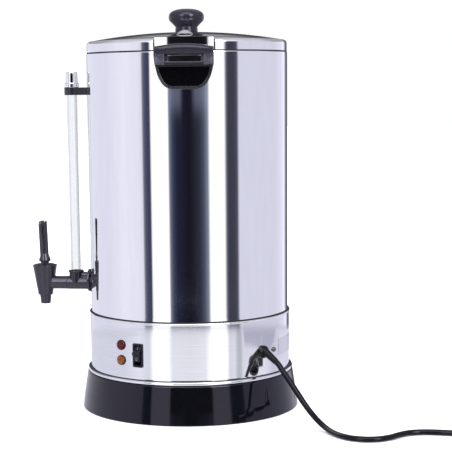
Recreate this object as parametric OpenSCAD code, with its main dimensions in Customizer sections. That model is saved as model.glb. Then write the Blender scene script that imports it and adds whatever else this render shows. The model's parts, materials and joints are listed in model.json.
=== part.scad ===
// Hot water urn: a steel tank on a control housing and a plastic base, with a
// lever tap, a glass level gauge, two carrying handles and a lift-off lid.
// Millimetres. +Z is up, the origin is on the tank's axis at the resting plane,
// and the tap points along -Y. An azimuth turns from the tap towards +X.

/* [Tank] */
// Outside diameter of the tank
tank_d = 270; // [250:1:300]
// Height of the tank wall above the control housing
tank_h = 348; // [330:1:420]
// Thickness of the tank sheet
tank_sheet = 0.8; // [0.5:0.1:1]
// Radius of the roll round the tank's mouth
rim_roll_r = 1.8; // [1.5:0.1:2.2]
// Height of the tank's floor above its bottom edge
floor_lift = 9; // [6:0.5:12]

/* [Housing and base] */
// Height of the brushed panel of the control housing
panel_h = 76.5; // [74:0.5:100]
// How far the panel stands out past the tank wall
panel_out = 2.2; // [1.5:0.1:4]
// Thickness of the panel sheet
panel_sheet = 0.8; // [0.6:0.1:1]
// Height of the rolled bead under the panel
bead_h = 5.5; // [4:0.5:7]
// How far that bead stands out past the panel
bead_out = 4.5; // [3.5:0.1:6]
// Height of the base ring
base_h = 51.5; // [45:0.5:70]
// How far the base ring flares out towards its foot
base_flare = 7.6; // [5:0.2:12]
// Thickness of the base ring's wall
base_wall = 3; // [2.5:0.1:3.5]
// Diameter of a rubber foot
foot_d = 22; // [16:1:28]
// Radius of the circle of feet
foot_circle_r = 112; // [100:1:118]
// Height of a rubber foot
foot_h = 4; // [3:0.5:6]

/* [Lid and knob] */
// Height of the lid's upright band
lid_band_h = 10.5; // [8:0.5:14]
// Radius of the corner between the lid's band and its dome
lid_corner_r = 5; // [4:0.5:6]
// Rise of the dome from the corner to the middle
lid_dome_rise = 11.5; // [9:0.5:16]
// Thickness of the lid sheet
lid_sheet = 0.8; // [0.6:0.1:1]
// How far the lid's band lies inside the tank wall
lid_inset = 0.6; // [0.3:0.1:1.2]
// Depth of the skirt that goes down into the tank
lid_skirt_h = 14; // [8:1:20]
// Width of the pressed ear above each handle
ear_w = 75; // [60:1:84]
// Height of an ear's top above the joint between lid and tank
ear_h = 17.5; // [16.5:0.5:18.5]
// Width of the steam vent's mouth
vent_w = 20; // [14:1:26]
// Height of the steam vent above the dome
vent_h = 5.5; // [4:0.5:7]
// Largest diameter of the knob
knob_d = 47.4; // [42:0.2:56]
// Diameter of the knob's foot
knob_foot_d = 29.8; // [24:0.2:34]
// Height of the knob
knob_h = 31; // [27:0.5:38]

/* [Handles] */
// Azimuth of the first handle; the second is opposite
handle_az = 97; // [90:0.5:104]
// Width of a handle over its cheeks
handle_w = 74.6; // [68:0.2:90]
// Height of a handle
handle_h = 56; // [52:0.5:64]
// Width of a handle along its bottom edge
handle_foot_w = 28; // [24:1:34]
// How far the grip reaches out from the tank
grip_reach = 37; // [34:0.5:50]
// Height of the grip bar
grip_h = 13.2; // [11:0.2:16]
// Thickness of the grip bar, outwards
grip_t = 15; // [14:0.5:18]
// Clear width between the two arms
grip_gap_w = 50; // [46:0.5:60]
// Thickness of the back plate
handle_plate_t = 8; // [7:0.5:10]

/* [Tap] */
// Distance of the tap's centreline from the tank wall
tap_out = 69; // [66:0.5:90]
// Height of the tap's shank above the tank's bottom edge
tap_lift = 34.5; // [32:0.5:60]
// Height of the tapered tap body
tap_h = 42; // [40:0.5:50]
// Diameter of the tap body at its rim
tap_rim_d = 34; // [33:0.2:40]
// Diameter of the tap body at its lower end
tap_foot_d = 20.2; // [19.6:0.1:24]
// Length of the nozzle
nozzle_h = 12.4; // [10:0.2:18]
// Diameter of the nozzle at its mouth
nozzle_d = 13.5; // [12.5:0.1:14.5]
// Diameter of the nozzle's bore
nozzle_bore_d = 9; // [7:0.1:9.5]
// Diameter of the shank between the tap and the gauge fitting
shank_d = 18.2; // [17:0.1:20]
// Diameter of the threaded spigot that goes through the tank wall
spigot_d = 14; // [12.5:0.1:15]
// Height of the lever above the tap's rim
lever_h = 61.2; // [52:0.5:75]
// Width of the lever's paddle at its top
paddle_w = 20; // [14:0.5:26]
// Travel of the lever, in degrees
lever_swing = 40; // [30:1:42]
// Lift of the valve stem at full travel
stem_lift = 4; // [3.8:0.1:4.3]

/* [Level gauge] */
// Outside diameter of the gauge glass
glass_d = 14; // [12:0.2:15]
// Thickness of the glass
glass_wall = 1.8; // [1.2:0.1:2.2]
// Distance of the glass's centreline from the tank wall
glass_out = 24.6; // [23:0.2:30]
// Distance from the tank's mouth down to the top of the upper bracket
bracket_drop = 44.5; // [30:0.5:80]
// Height of the upper bracket
bracket_h = 10.3; // [8:0.1:14]
// Height of the metal cap above the bracket
cap_h = 20.6; // [16:0.2:26]

/* [Controls] */
// Azimuth of the two indicator lamps
lamp_az = 57; // [40:0.5:58]
// Diameter of an indicator lens
lamp_d = 14; // [12:0.2:15]
// Height of the red lamp above the panel's foot
red_lamp_lift = 44; // [40:0.5:52]
// Height of the amber lamp above the panel's foot
amber_lamp_lift = 23.7; // [18:0.5:24.5]
// Azimuth of the rocker switch
switch_az = 68.5; // [68:0.5:80]
// Width of the switch's frame
switch_w = 15; // [14.6:0.1:16]
// Height of the switch's frame
switch_h = 31.6; // [30.6:0.1:34]
// Height of the switch's middle above the panel's foot
switch_lift = 32.4; // [28:0.2:40]
// Travel of the rocker, in degrees
rocker_swing = 28; // [20:1:28]

/* [Lead] */
// Azimuth of the lead's gland
gland_az = 143; // [140:0.5:144]
// Height of the gland above the panel's foot
gland_lift = 31.6; // [28:0.2:40]
// Diameter of the gland's flange
gland_d = 17; // [15:0.2:19]
// Diameter of the lead
lead_d = 7.4; // [6.6:0.1:7.6]
// Azimuth of the earth screw
earth_az = 152.5; // [152:0.5:156]
// Azimuth of the middle of the bare rating plate
plate_az = 176; // [175:0.5:190]
// Angle that the rating plate covers
plate_angle = 36; // [24:1:37]
// Height of the rating plate
plate_h = 22; // [16:1:26]

/* [Hidden] */
$fn = 96;

// Clearances: a running fit on radius, a loose fit, and a hair between curved faces
run = 0.05;
loose = 0.3;
hair = 0.1;
eps = 0.01;
// Half a turn in degrees
half_turn = 180;

// Levels of the main joints
tank_r = tank_d / 2;
panel_r = tank_r + panel_out;
z_panel = base_h + bead_h;
z_tank = z_panel + panel_h;
z_floor = z_tank + floor_lift;
z_rim = z_tank + tank_h;

// Base ring and what closes it from below
base_top_r = panel_r + bead_out;
base_foot_r = base_top_r + base_flare;
ledge_w = 10;
ledge_t = 3;
plate_t = 1;
plate_r = base_foot_r - base_wall - 2;
z_plate = foot_h + plate_t;
base_screw_r = 1.75;
base_screw_circle_r = plate_r - 4.5;
flange_w = 14;
housing_screw_r = 2;
housing_screw_circle_r = panel_r - flange_w + 7;
screw_count = 4;

// Parts under the tank's floor
heater_r = 88;
heater_t = 6;
z_heater = z_floor - heater_t;
boil_ring_r = 66;
boil_tube_r = 4.2;
warm_ring_r = 44;
warm_tube_r = 3.2;
element_gap = 40;
cold_end_h = 20;
sensor_r = 9;
sensor_h = 8;
sensor_step = 17;
strap_t = 1.2;

// Seats in the tank wall
tap_r = tank_r + tap_out;
tap_z = z_tank + tap_lift;
spigot_r = spigot_d / 2;
shank_r = shank_d / 2;
flow_r = 4.5;
glass_x = tank_r + glass_out;
glass_r = glass_d / 2;
bracket_top = z_rim - bracket_drop;
bracket_z = bracket_top - bracket_h / 2;
m4_r = 2;
m5_r = 2.5;

// The tap's own levels
tap_top = tap_z + 24.8;
tap_foot = tap_top - tap_h;
nozzle_mouth = tap_foot - nozzle_h;
chamber_r = 8.1;
seat_z = tap_foot + 2.6;
bonnet_seat = tap_top - 5;
bonnet_r = 13.3;
bonnet_plug_h = 5;
bonnet_rise = 1;
neck_r = 5.7;
neck_top = tap_top + 4.2;
stem_r = 2.5;
pin_r = 1.2;
pin_z = tap_top + 8.2;
seal_h = 8;
seal_r = chamber_r - loose;
stem_flange_h = 1;
spring_turns = 6;
spring_wire = 1;
spring_r = 6;
spring_foot = seat_z + seal_h + stem_flange_h;
spring_top = bonnet_seat - bonnet_plug_h;
skirt_r = 8.5;
skirt_foot = tap_top + 4.7;
skirt_top = tap_top + 15.5;
lever_top = tap_top + lever_h;

// The gauge fitting between tap and tank
tee_flange_r = 15.6;
tee_flange_t = 3;
tee_flange_rise = 3.6;
washer_t = 3.6;
tee_foot = tank_r + washer_t;
tee_end = glass_x + 11.8;
socket_r = 9.5;
socket_lip_r = 10.7;
socket_top = tap_z + 17.4;
socket_lip_h = 2.3;
glass_foot = tap_z + 7.5;
seal_ring_r = glass_r + 1.5;
glass_top = bracket_top + 14;
rib_r = 5;
rib_rise = 10;
nut_t = 8;
inner_washer_t = 2.5;

// Handles: heights, measured down from the tank's mouth
grip_top = z_rim + 7.7;
handle_foot = grip_top - handle_h;
grip_z = grip_top - grip_h / 2;
grip_mid = tank_r + grip_reach - grip_t / 2;
plate_top = grip_top - 26;
lip_r = 2.4;
grip_arch_r = 190;
handle_corner_r = 18;
handle_rim = 2.2;
handle_hollow = 2;
handle_screw_x = 17;
handle_screw_z = handle_foot + 20;

// Switch, lamps and lead entry on the panel
switch_z = z_panel + switch_lift;
frame_t = 1.8;
can_w = switch_w - 2.2;
can_h = switch_h - 3.4;
can_depth = 20;
well_w = can_w - 2.6;
well_h = can_h - 2.4;
pivot_depth = 7;
pivot_r = 1.3;
pivot_l = well_w + 2;
rocker_w = well_w - 2 * loose;
hump_h = 8.8;
wing_h = 2;
lamp_neck_r = 4.9;
lamp_body_l = 22;
gland_z = z_panel + gland_lift;
gland_neck_r = 6.5;
gland_flange_t = 2.8;
gland_boss_l = 2.6;
gland_nose_l = 20;
gland_droop = 31;
gland_inner_l = 12;
lead_r = lead_d / 2;
foil_t = 0.3;

// The lead's route on the resting surface and down from the gland. The first two
// points follow the gland's nose, and the others are chosen along the route.
nose_y = panel_r + gland_flange_t + gland_boss_l + gland_nose_l * cos(gland_droop);
nose_z = gland_z - gland_nose_l * sin(gland_droop);
lead_start = spot(gland_az, nose_y, nose_z);
lead_second = spot(gland_az, nose_y + 6 * cos(gland_droop + 3), nose_z - 6 * sin(gland_droop + 3));
lead_route = [
    lead_start,
    lead_second,
    [104, 137, 68],
    [114, 148, 55],
    [125, 160, 40],
    [136, 172, 25.5],
    [149, 185, 13.5],
    [163, 197.5, 6],
    [179, 207.5, 4],
    [194, 218, 4],
    [205, 232, 4],
    [209, 248, 4],
    [206, 264, 4],
    [196, 278, 4],
    [182, 289, 4],
    [170, 301, 4],
    [164, 316, 4],
    [163, 334, 4],
    [165, 352, 4],
    [168, 371, 4],
    [170, 391, 4],
    [170.2, 408, 4],
    [170.2, 422.6, 4]
];

// The put-away length, wound as two layers
coil_x = 119;
coil_y = 430;
coil_z = 4;
coil_inner_r = 33;
coil_pitch = 9.1;
coil_step = 8;
coil_turns_in = 2;
coil_turns_out = 1.75;
coil_rings = 24;
coil_tail = 7.4;

// The plug at the lead's end
plug_relief_l = 43;
plug_body_l = 50;
plug_body_w = 50;
plug_body_h = 22;
plug_z = coil_z + coil_step;

// A point at an azimuth, a distance from the axis and a height
function spot(az, r, z) = [r * sin(az), -r * cos(az), z];

// Points of an arc in the plane, from one angle to another
function arc(cx, cy, r, a0, a1, n = 8) =
    [for (i = [0 : n]) let (a = a0 + (a1 - a0) * i / n) [cx + r * cos(a), cy + r * sin(a)]];

function unit(v) = v / norm(v);

// Direction of a path at one of its points
function heading(p, i) =
    let (last = len(p) - 1)
    unit(p[min(i + 1, last)] - p[max(i - 1, 0)]);

// A side direction carried along a path without twist
function carried(v, t) = unit(v - (v * t) * t);
function sides_along(p, first) =
    [for (i = 0, v = carried(first, heading(p, 0)); i < len(p);
          i = i + 1, v = carried(v, heading(p, min(i, len(p) - 1)))) v];

// A solid tube swept along a path, whose first and last headings may be given
module swept(p, r, sides = 8, first = [0, 0, 1], t0 = undef, t1 = undef) {
    last = len(p) - 1;
    t = [for (i = [0 : last])
        i == 0 && t0 != undef ? t0 : i == last && t1 != undef ? t1 : heading(p, i)];
    v = sides_along(p, first);
    rings = [for (i = [0 : last]) let (a = carried(v[i], t[i]), b = cross(t[i], a))
        for (k = [0 : sides - 1])
            let (w = 360 * (k + 0.5) / sides) p[i] + r * (cos(w) * a + sin(w) * b)];
    walls = [for (i = [0 : last - 1]) for (k = [0 : sides - 1])
        let (m = (k + 1) % sides, s = i * sides)
            each [[s + k, s + sides + k, s + m], [s + m, s + sides + k, s + sides + m]]];
    caps = [for (k = [1 : sides - 2])
        each [[0, k, k + 1], [last * sides, last * sides + k + 1, last * sides + k]]];
    polyhedron(points = rings, faces = concat(walls, caps));
}

// Puts children at an azimuth; they are drawn as if they faced the tap's side
module around(az) {
    rotate([0, 0, az]) children();
}

// A round bar or cone that points outwards, between two distances from the axis
module bar_out(r, from, to, r_end = undef) {
    translate([0, -from, 0])
        rotate([90, 0, 0])
            cylinder(r1 = r, r2 = r_end == undef ? r : r_end, h = to - from);
}

// A block that points outwards
module block_out(w, h, from, to) {
    translate([-w / 2, -to, -h / 2])
        cube([w, to - from, h]);
}

// The space outside the tank wall, which curved seats are cut to
module tank_space(gap = 0) {
    cylinder(r = tank_r + gap, h = 2 * z_rim, $fn = 180);
}

// ---------------------------------------------------------------- base

// The moulded ring that the urn stands on
module base_ring() {
    foot_edge = 3;
    top_edge = 1.5;
    outer = concat(
        [[base_foot_r - foot_edge, 0]],
        arc(base_foot_r - foot_edge, foot_edge, foot_edge, -90, 0, 5),
        [[base_foot_r - base_flare * 0.22, base_h * 0.35]],
        [[base_foot_r - base_flare * 0.56, base_h * 0.7]],
        arc(base_top_r - top_edge, base_h - top_edge, top_edge, 0, 90, 4));
    inner = [
        [base_top_r - flange_w, base_h],
        [base_top_r - flange_w, base_h - ledge_t],
        [base_top_r - base_wall, base_h - ledge_t],
        [base_foot_r - base_wall - 1, z_plate + ledge_t],
        [base_foot_r - base_wall - ledge_w, z_plate + ledge_t],
        [base_foot_r - base_wall - ledge_w, z_plate],
        [base_foot_r - base_wall - 1, z_plate],
        [base_foot_r - base_wall - 1, 0]
    ];
    color("#15151a")
        difference() {
            rotate_extrude($fn = 180) polygon(concat(outer, inner));
            for (k = [0 : screw_count - 1]) {
                around(45 + 90 * k) {
                    translate([0, -base_screw_circle_r, z_plate - 1])
                        cylinder(r = base_screw_r + run, h = ledge_t + 2);
                    translate([0, -housing_screw_circle_r, base_h - ledge_t - 1])
                        cylinder(r = housing_screw_r + run, h = ledge_t + 2);
                }
            }
        }
}

// The sheet that closes the base from below, with a ring of vent slots
module base_plate() {
    slot_l = 26;
    slot_w = 4;
    slot_circle_r = 60;
    slot_count = 8;
    color("#9a9ba0")
        difference() {
            translate([0, 0, foot_h]) cylinder(r = plate_r, h = plate_t, $fn = 180);
            for (k = [0 : screw_count - 1]) {
                around(45 + 90 * k)
                    translate([0, -base_screw_circle_r, foot_h - 1])
                        cylinder(r = base_screw_r + run, h = plate_t + 2);
                around(90 * k)
                    translate([0, -foot_circle_r, foot_h - 1])
                        cylinder(r = m4_r + run, h = plate_t + 2);
            }
            for (k = [0 : slot_count - 1]) {
                around(22.5 + 360 / slot_count * k)
                    translate([-slot_w / 2, -slot_circle_r - slot_l / 2, foot_h - 1])
                        cube([slot_w, slot_l, plate_t + 2]);
            }
        }
}

// Four push-in rubber feet, flush with the base ring's lower edge
module rubber_feet() {
    stud_head_r = 3.6;
    color("#202022")
        for (k = [0 : screw_count - 1]) {
            around(90 * k)
                translate([0, -foot_circle_r, 0]) {
                    cylinder(d1 = foot_d - 2, d2 = foot_d, h = foot_h);
                    translate([0, 0, foot_h - eps]) cylinder(r = m4_r, h = plate_t + 2 * eps);
                    translate([0, 0, z_plate]) cylinder(r1 = stud_head_r, r2 = m4_r, h = 3);
                }
        }
}

// A pan-headed screw that points up, its head under a level
module screw_up(r, seat, l, head_r, head_t) {
    translate([0, 0, seat - head_t]) cylinder(r = head_r, h = head_t);
    translate([0, 0, seat - eps]) cylinder(r = r, h = l);
}

// The screws that hold the base plate to the ring's ledge
module base_screws() {
    color("#b9bbc0")
        for (k = [0 : screw_count - 1]) {
            around(45 + 90 * k)
                translate([0, -base_screw_circle_r, 0])
                    screw_up(base_screw_r, foot_h, plate_t + ledge_t + 2, 3.4, 2);
        }
}

// ---------------------------------------------------------------- housing

// The brushed steel band with its two rolled beads and the openings for controls
module housing_panel() {
    top_bead_r = 1.3;
    lower_r = bead_h / 2;
    lower_x = base_top_r - lower_r;
    top_flange_r = tank_r - 8;
    color("#cfd0d8")
        difference() {
            rotate_extrude($fn = 180) {
                // the upright band
                translate([panel_r - panel_sheet, z_panel - 0.6]) square([panel_sheet, panel_h - 0.7]);
                // the small bead under the tank, and the flange that carries the tank
                translate([panel_r - 0.3, z_tank - top_bead_r]) circle(r = top_bead_r, $fn = 32);
                translate([top_flange_r, z_tank - panel_sheet]) square([panel_r - top_flange_r, panel_sheet]);
                // the large bead that sits on the base ring, and the flange screwed to the ring
                difference() {
                    translate([lower_x, base_h + lower_r]) circle(r = lower_r, $fn = 48);
                    translate([lower_x, base_h + lower_r]) circle(r = lower_r - panel_sheet, $fn = 48);
                    translate([lower_x - 2 * lower_r, base_h + panel_sheet])
                        square([2 * lower_r, bead_h - 2 * panel_sheet]);
                }
                translate([panel_r - panel_sheet, z_panel - panel_sheet])
                    square([lower_x - panel_r + panel_sheet, panel_sheet]);
                translate([panel_r - flange_w, base_h]) square([lower_x - panel_r + flange_w, panel_sheet]);
            }
            around(switch_az) translate([0, 0, switch_z]) block_out(can_w + 0.4, can_h + 0.4, panel_r - 9, panel_r + 5);
            for (lift = [red_lamp_lift, amber_lamp_lift]) {
                around(lamp_az)
                    translate([0, 0, z_panel + lift])
                        bar_out(lamp_neck_r + run, panel_r - 9, panel_r + 5);
            }
            around(gland_az) translate([0, 0, gland_z]) bar_out(gland_neck_r + run, panel_r - 9, panel_r + 5);
            around(earth_az) translate([0, 0, gland_z]) bar_out(m4_r + run, panel_r - 9, panel_r + 5);
            for (k = [0 : screw_count - 1]) {
                around(45 + 90 * k)
                    translate([0, -housing_screw_circle_r, base_h - 1])
                        cylinder(r = housing_screw_r + run, h = panel_sheet + 2);
            }
        }
}

// The screws that hold the housing down on the base ring
module housing_screws() {
    color("#b9bbc0")
        for (k = [0 : screw_count - 1]) {
            around(45 + 90 * k)
                translate([0, -housing_screw_circle_r, 0])
                    screw_up(housing_screw_r, base_h - ledge_t, ledge_t + panel_sheet + 4, 3.8, 2.2);
        }
}

// ---------------------------------------------------------------- tank

// The tank's polished wall, rolled in at the mouth and flared at the foot
module tank_wall() {
    flare = 1.1;
    flare_h = 6;
    roll_x = tank_r - rim_roll_r;
    roll_z = z_rim - rim_roll_r;
    flat = 0.2;
    color("#dcdde4")
        difference() {
            rotate_extrude($fn = 180) {
                translate([tank_r - tank_sheet, z_tank + flare_h])
                    square([tank_sheet, tank_h - flare_h - rim_roll_r]);
                polygon([
                    [tank_r - tank_sheet, z_tank + flare_h],
                    [tank_r, z_tank + flare_h],
                    [tank_r + flare, z_tank],
                    [tank_r + flare - tank_sheet, z_tank]
                ]);
                intersection() {
                    difference() {
                        translate([roll_x, roll_z]) circle(r = rim_roll_r + flat, $fn = 48);
                        translate([roll_x, roll_z]) circle(r = rim_roll_r - tank_sheet, $fn = 48);
                    }
                    translate([tank_r - 3 * rim_roll_r, z_rim - 3 * rim_roll_r])
                        square([3 * rim_roll_r, 3 * rim_roll_r]);
                }
            }
            translate([0, 0, tap_z]) bar_out(spigot_r + loose, tank_r - 9, tank_r + 5);
            translate([0, 0, bracket_z]) bar_out(m4_r + run, tank_r - 9, tank_r + 5);
            for (side = [0, 1], x = [-handle_screw_x, handle_screw_x]) {
                around(handle_az + half_turn * side)
                    translate([x, 0, handle_screw_z])
                        bar_out(m5_r + run, tank_r - 9, tank_r + 5);
            }
        }
}

// The pressed floor that closes the tank, with a curved corner and a hem
module tank_floor() {
    corner = 8;
    skin = tank_sheet;
    out_r = tank_r - tank_sheet - hair;
    color("#c9cad2")
        rotate_extrude($fn = 180)
            polygon(concat(
                [[0, z_floor]],
                arc(out_r - corner, z_floor + skin - corner, corner - skin, 90, 0, 6),
                [[out_r - skin, z_tank], [out_r, z_tank]],
                arc(out_r - corner, z_floor + skin - corner, corner, 0, 90, 6),
                [[0, z_floor + skin]]));
}

// ---------------------------------------------------------------- heating

// The cast plate that spreads the heat under the floor
module heater_plate() {
    color("#a8a9ad")
        translate([0, 0, z_heater]) cylinder(r = heater_r, h = heater_t);
}

// One sheathed element: an open ring with two cold ends that turn down
module element(ring_r, tube_r) {
    lead_a = element_gap / 2;
    rotate([0, 0, lead_a])
        rotate_extrude(angle = 360 - element_gap)
            translate([ring_r, 0]) circle(r = tube_r, $fn = 32);
    for (a = [-lead_a, lead_a]) {
        rotate([0, 0, a]) translate([ring_r, 0, 0]) sphere(r = tube_r, $fn = 32);
        rotate([0, 0, a]) translate([ring_r, 0, -cold_end_h]) cylinder(r = tube_r, h = cold_end_h, $fn = 32);
        rotate([0, 0, a]) translate([ring_r, 0, -cold_end_h - 8]) cylinder(r = 1.5, h = 9, $fn = 24);
    }
}

module boil_element() {
    color("#7b7c80") translate([0, 0, z_heater - boil_tube_r]) element(boil_ring_r, boil_tube_r);
}

module warm_element() {
    color("#85868a") translate([0, 0, z_heater - warm_tube_r]) element(warm_ring_r, warm_tube_r);
}

// A snap-disc sensor pressed against the heater plate, with two spade terminals
module disc_sensor(y) {
    spade_w = 6.3;
    translate([0, y, z_heater - sensor_h]) {
        cylinder(r = sensor_r, h = sensor_h);
        for (x = [-5, 5]) {
            translate([x - 0.4, -spade_w / 2, -8]) cube([0.8, spade_w, 8 + eps]);
        }
    }
}

module boil_thermostat() {
    color("#2c2c30") disc_sensor(sensor_step);
}

module thermal_cutout() {
    color("#ece7d8") disc_sensor(-sensor_step);
}

// The strap that holds both sensors up, on two posts under the plate
module sensor_strap() {
    strap_l = 78;
    strap_w = 12;
    z = z_heater - sensor_h - strap_t - 8.5;
    post_r = 3;
    post_y = strap_l / 2 - 5;
    pad_r = 3;
    color("#b4b5ba") {
        difference() {
            translate([-strap_w / 2, -strap_l / 2, z]) cube([strap_w, strap_l, strap_t]);
            for (y = [-sensor_step, sensor_step], x = [-5, 5]) {
                translate([x - 1.2, y - 4.2, z - 1]) cube([2.4, 8.4, strap_t + 2]);
            }
        }
        for (y = [-post_y, post_y]) {
            translate([0, y, z]) cylinder(r = post_r, h = z_heater - z, $fn = 32);
        }
        for (y = [-sensor_step, sensor_step]) {
            translate([0, y, z + strap_t - eps]) cylinder(r = pad_r, h = z_heater - sensor_h - z - strap_t + eps, $fn = 32);
        }
    }
}

// Where the lead's wires are joined, on the base plate
block_w = 34;
block_l = 22;
block_h = 16;
block_r = 78;
module terminal_block() {
    way = block_w / 3;
    color("#e8e6df")
        around(gland_az)
            translate([0, -block_r, z_plate])
                difference() {
                    translate([-block_w / 2, -block_l / 2, 0]) cube([block_w, block_l, block_h]);
                    for (k = [-1, 0, 1]) {
                        translate([k * way, -block_l, block_h * 0.55]) rotate([-90, 0, 0]) cylinder(r = 2.2, h = 2 * block_l, $fn = 24);
                        translate([k * way, 4, block_h * 0.55]) cylinder(r = 1.8, h = block_h, $fn = 24);
                        translate([k * way, -4, block_h * 0.55]) cylinder(r = 1.8, h = block_h, $fn = 24);
                    }
                }
}

// The sheathed end of the lead inside the housing
cable_in = panel_r - gland_inner_l;
cable_foot = spot(gland_az, block_r + block_l / 2 + 3.8 * lead_r, z_plate + block_h * 0.55);
cable_turn = 1.5 * gland_inner_l;
cable_drop = gland_z - z_plate;
module inner_cable() {
    start = spot(gland_az, cable_in, gland_z);
    route = [
        start,
        spot(gland_az, cable_in - cable_turn * 0.33, gland_z - cable_drop * 0.025),
        spot(gland_az, cable_in - cable_turn * 0.72, gland_z - cable_drop * 0.175),
        spot(gland_az, cable_in - cable_turn * 0.89, gland_z - cable_drop * 0.425),
        spot(gland_az, cable_in - cable_turn, gland_z - cable_drop * 0.65),
        cable_foot
    ];
    color("#1b1b1e") swept(route, lead_r, 8, [1, 0, 0], t0 = -spot(gland_az, 1, 0), t1 = unit(-spot(gland_az, 1, 0.2)));
}

// One insulated wire
wire_r = 1.3;
module wire(route, c) {
    color(c) swept(route, wire_r, 6, [0, 0.3, 1]);
}

// The wires between the lead, the switch, the sensors and the elements
module wiring() {
    way = block_w / 3;
    z_way = z_plate + block_h * 0.55;
    out_y = block_r - block_l / 2 - 2;
    can_back = panel_r - can_depth;
    cold_x = boil_ring_r * cos(element_gap / 2);
    cold_y = boil_ring_r * sin(element_gap / 2);
    cold_z = z_heater - boil_tube_r - cold_end_h - 9;
    for (k = [-1, 0, 1]) {
        near = spot(gland_az, block_r + block_l / 2 + 2, z_way);
        aside = k * way * [cos(gland_az), sin(gland_az), 0];
        wire([
            cable_foot + (k * 2.2) * [cos(gland_az), sin(gland_az), 0] - spot(gland_az, 0.5, 0),
            near + 0.6 * aside + spot(gland_az, 5, 0),
            near + aside
        ], ["#2b59b0", "#6fa83a", "#8a4b2a"][k + 1]);
    }
    // live wire from the terminals to the back of the switch
    wire([
        spot(gland_az, out_y, z_way) + way * [cos(gland_az), sin(gland_az), 0],
        spot(gland_az - 14, out_y - 8, z_way + 12),
        spot(gland_az - 38, out_y, z_way + 36),
        spot(switch_az + 8, can_back - 16, switch_z - 12),
        spot(switch_az, can_back - 9, switch_z - 7)
    ], "#8a4b2a");
    // neutral wire from the terminals to one end of the element
    wire([
        spot(gland_az, out_y, z_way) - way * [cos(gland_az), sin(gland_az), 0],
        spot(gland_az, out_y - 14, z_way + 10) - way * [cos(gland_az), sin(gland_az), 0],
        [cold_x - 4, cold_y + 8, z_way + 44],
        [cold_x, cold_y, cold_z - 12],
        [cold_x, cold_y, cold_z]
    ], "#2b59b0");
    // from the switch by the cut-out to the other end of the element
    wire([
        spot(switch_az, can_back - 9, switch_z + 7),
        spot(switch_az, can_back - 22, switch_z + 10),
        [cold_x + 4, -cold_y - 6, switch_z + 4],
        [cold_x, -cold_y, cold_z - 10],
        [cold_x, -cold_y, cold_z]
    ], "#b8342c");
}

// ---------------------------------------------------------------- tap

// The tapered body, its nozzle, the shank and the threaded spigot, in one moulding
module tap_body() {
    nozzle_top_r = 8.05;
    inside = tank_r - tank_sheet - inner_washer_t - nut_t - 2;
    foot_r = tap_foot_d / 2;
    color("#2f2f38")
        difference() {
            union() {
                translate([0, -tap_r, tap_foot]) cylinder(r1 = foot_r, r2 = tap_rim_d / 2, h = tap_h);
                translate([0, -tap_r, nozzle_mouth])
                    cylinder(r1 = nozzle_d / 2, r2 = nozzle_top_r, h = nozzle_h + eps);
                translate([0, 0, tap_z]) bar_out(shank_r, tee_end, tap_r);
                translate([0, 0, tap_z]) bar_out(spigot_r, inside, tee_end + eps);
            }
            // the way out through the seat
            translate([0, -tap_r, nozzle_mouth - 1]) cylinder(d = nozzle_bore_d, h = tap_h);
            // the chamber that the valve works in, and the seat of the bonnet
            translate([0, -tap_r, seat_z]) cylinder(r = chamber_r, h = tap_h);
            translate([0, -tap_r, bonnet_seat]) cylinder(r = bonnet_r + run, h = tap_h);
            // the way in from the tank, and the port up to the gauge
            translate([0, 0, tap_z]) bar_out(flow_r, inside - 1, tap_r);
            translate([0, -glass_x, tap_z]) cylinder(r = 2.5, h = spigot_r + 1, $fn = 24);
        }
}

// The cap screwed into the tap's rim, which guides the stem
module tap_bonnet() {
    color("#1c1c22")
        difference() {
            translate([0, -tap_r, 0])
                union() {
                    translate([0, 0, bonnet_seat]) cylinder(r = bonnet_r, h = tap_top + bonnet_rise - bonnet_seat);
                    translate([0, 0, spring_top])
                        cylinder(r = chamber_r - run, h = bonnet_plug_h + eps);
                    translate([0, 0, tap_top]) cylinder(r = neck_r, h = neck_top - tap_top);
                }
            translate([0, -tap_r, spring_top - 1]) cylinder(r = stem_r + run, h = tap_h);
        }
}

// The valve stem with the flange that the spring pushes on
module tap_stem() {
    top = pin_z + 3;
    color("#c9cacf")
        difference() {
            translate([0, -tap_r, 0]) {
                translate([0, 0, seat_z + 3]) cylinder(r = stem_r, h = top - seat_z - 3);
                translate([0, 0, seat_z + seal_h]) cylinder(r = seal_r - 0.6, h = stem_flange_h);
            }
            translate([-stem_r - 1, -tap_r, pin_z])
                rotate([0, 90, 0]) cylinder(r = pin_r + run, h = 2 * stem_r + 2, $fn = 32);
        }
}

// The silicone cup that closes the seat
module tap_seal() {
    color("#d9d4c8")
        difference() {
            translate([0, -tap_r, seat_z]) {
                cylinder(r1 = nozzle_bore_d / 2 + 1.2, r2 = seal_r, h = 4);
                translate([0, 0, 4 - eps]) cylinder(r = seal_r, h = seal_h - 4 + eps);
            }
            translate([0, -tap_r, seat_z + 3]) cylinder(r = stem_r, h = seal_h);
        }
}

// The closing spring: one wire wound between the stem's flange and the bonnet
module tap_spring() {
    rings = 12;
    steps = spring_turns * rings;
    rise = spring_top - spring_foot - spring_wire - 2 * eps;
    route = [for (i = [0 : steps]) [
        spring_r * cos(360 * i / rings),
        spring_r * sin(360 * i / rings) - tap_r,
        spring_foot + spring_wire / 2 + eps + rise * i / steps
    ]];
    color("#a9abb0") swept(route, spring_wire / 2, 6);
}

// The pin that joins lever and stem
pin_l = 11;
module lever_pin() {
    color("#c2c4ca")
        translate([-pin_l / 2, -tap_r, pin_z]) rotate([0, 90, 0]) cylinder(r = pin_r, h = pin_l, $fn = 32);
}

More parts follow.
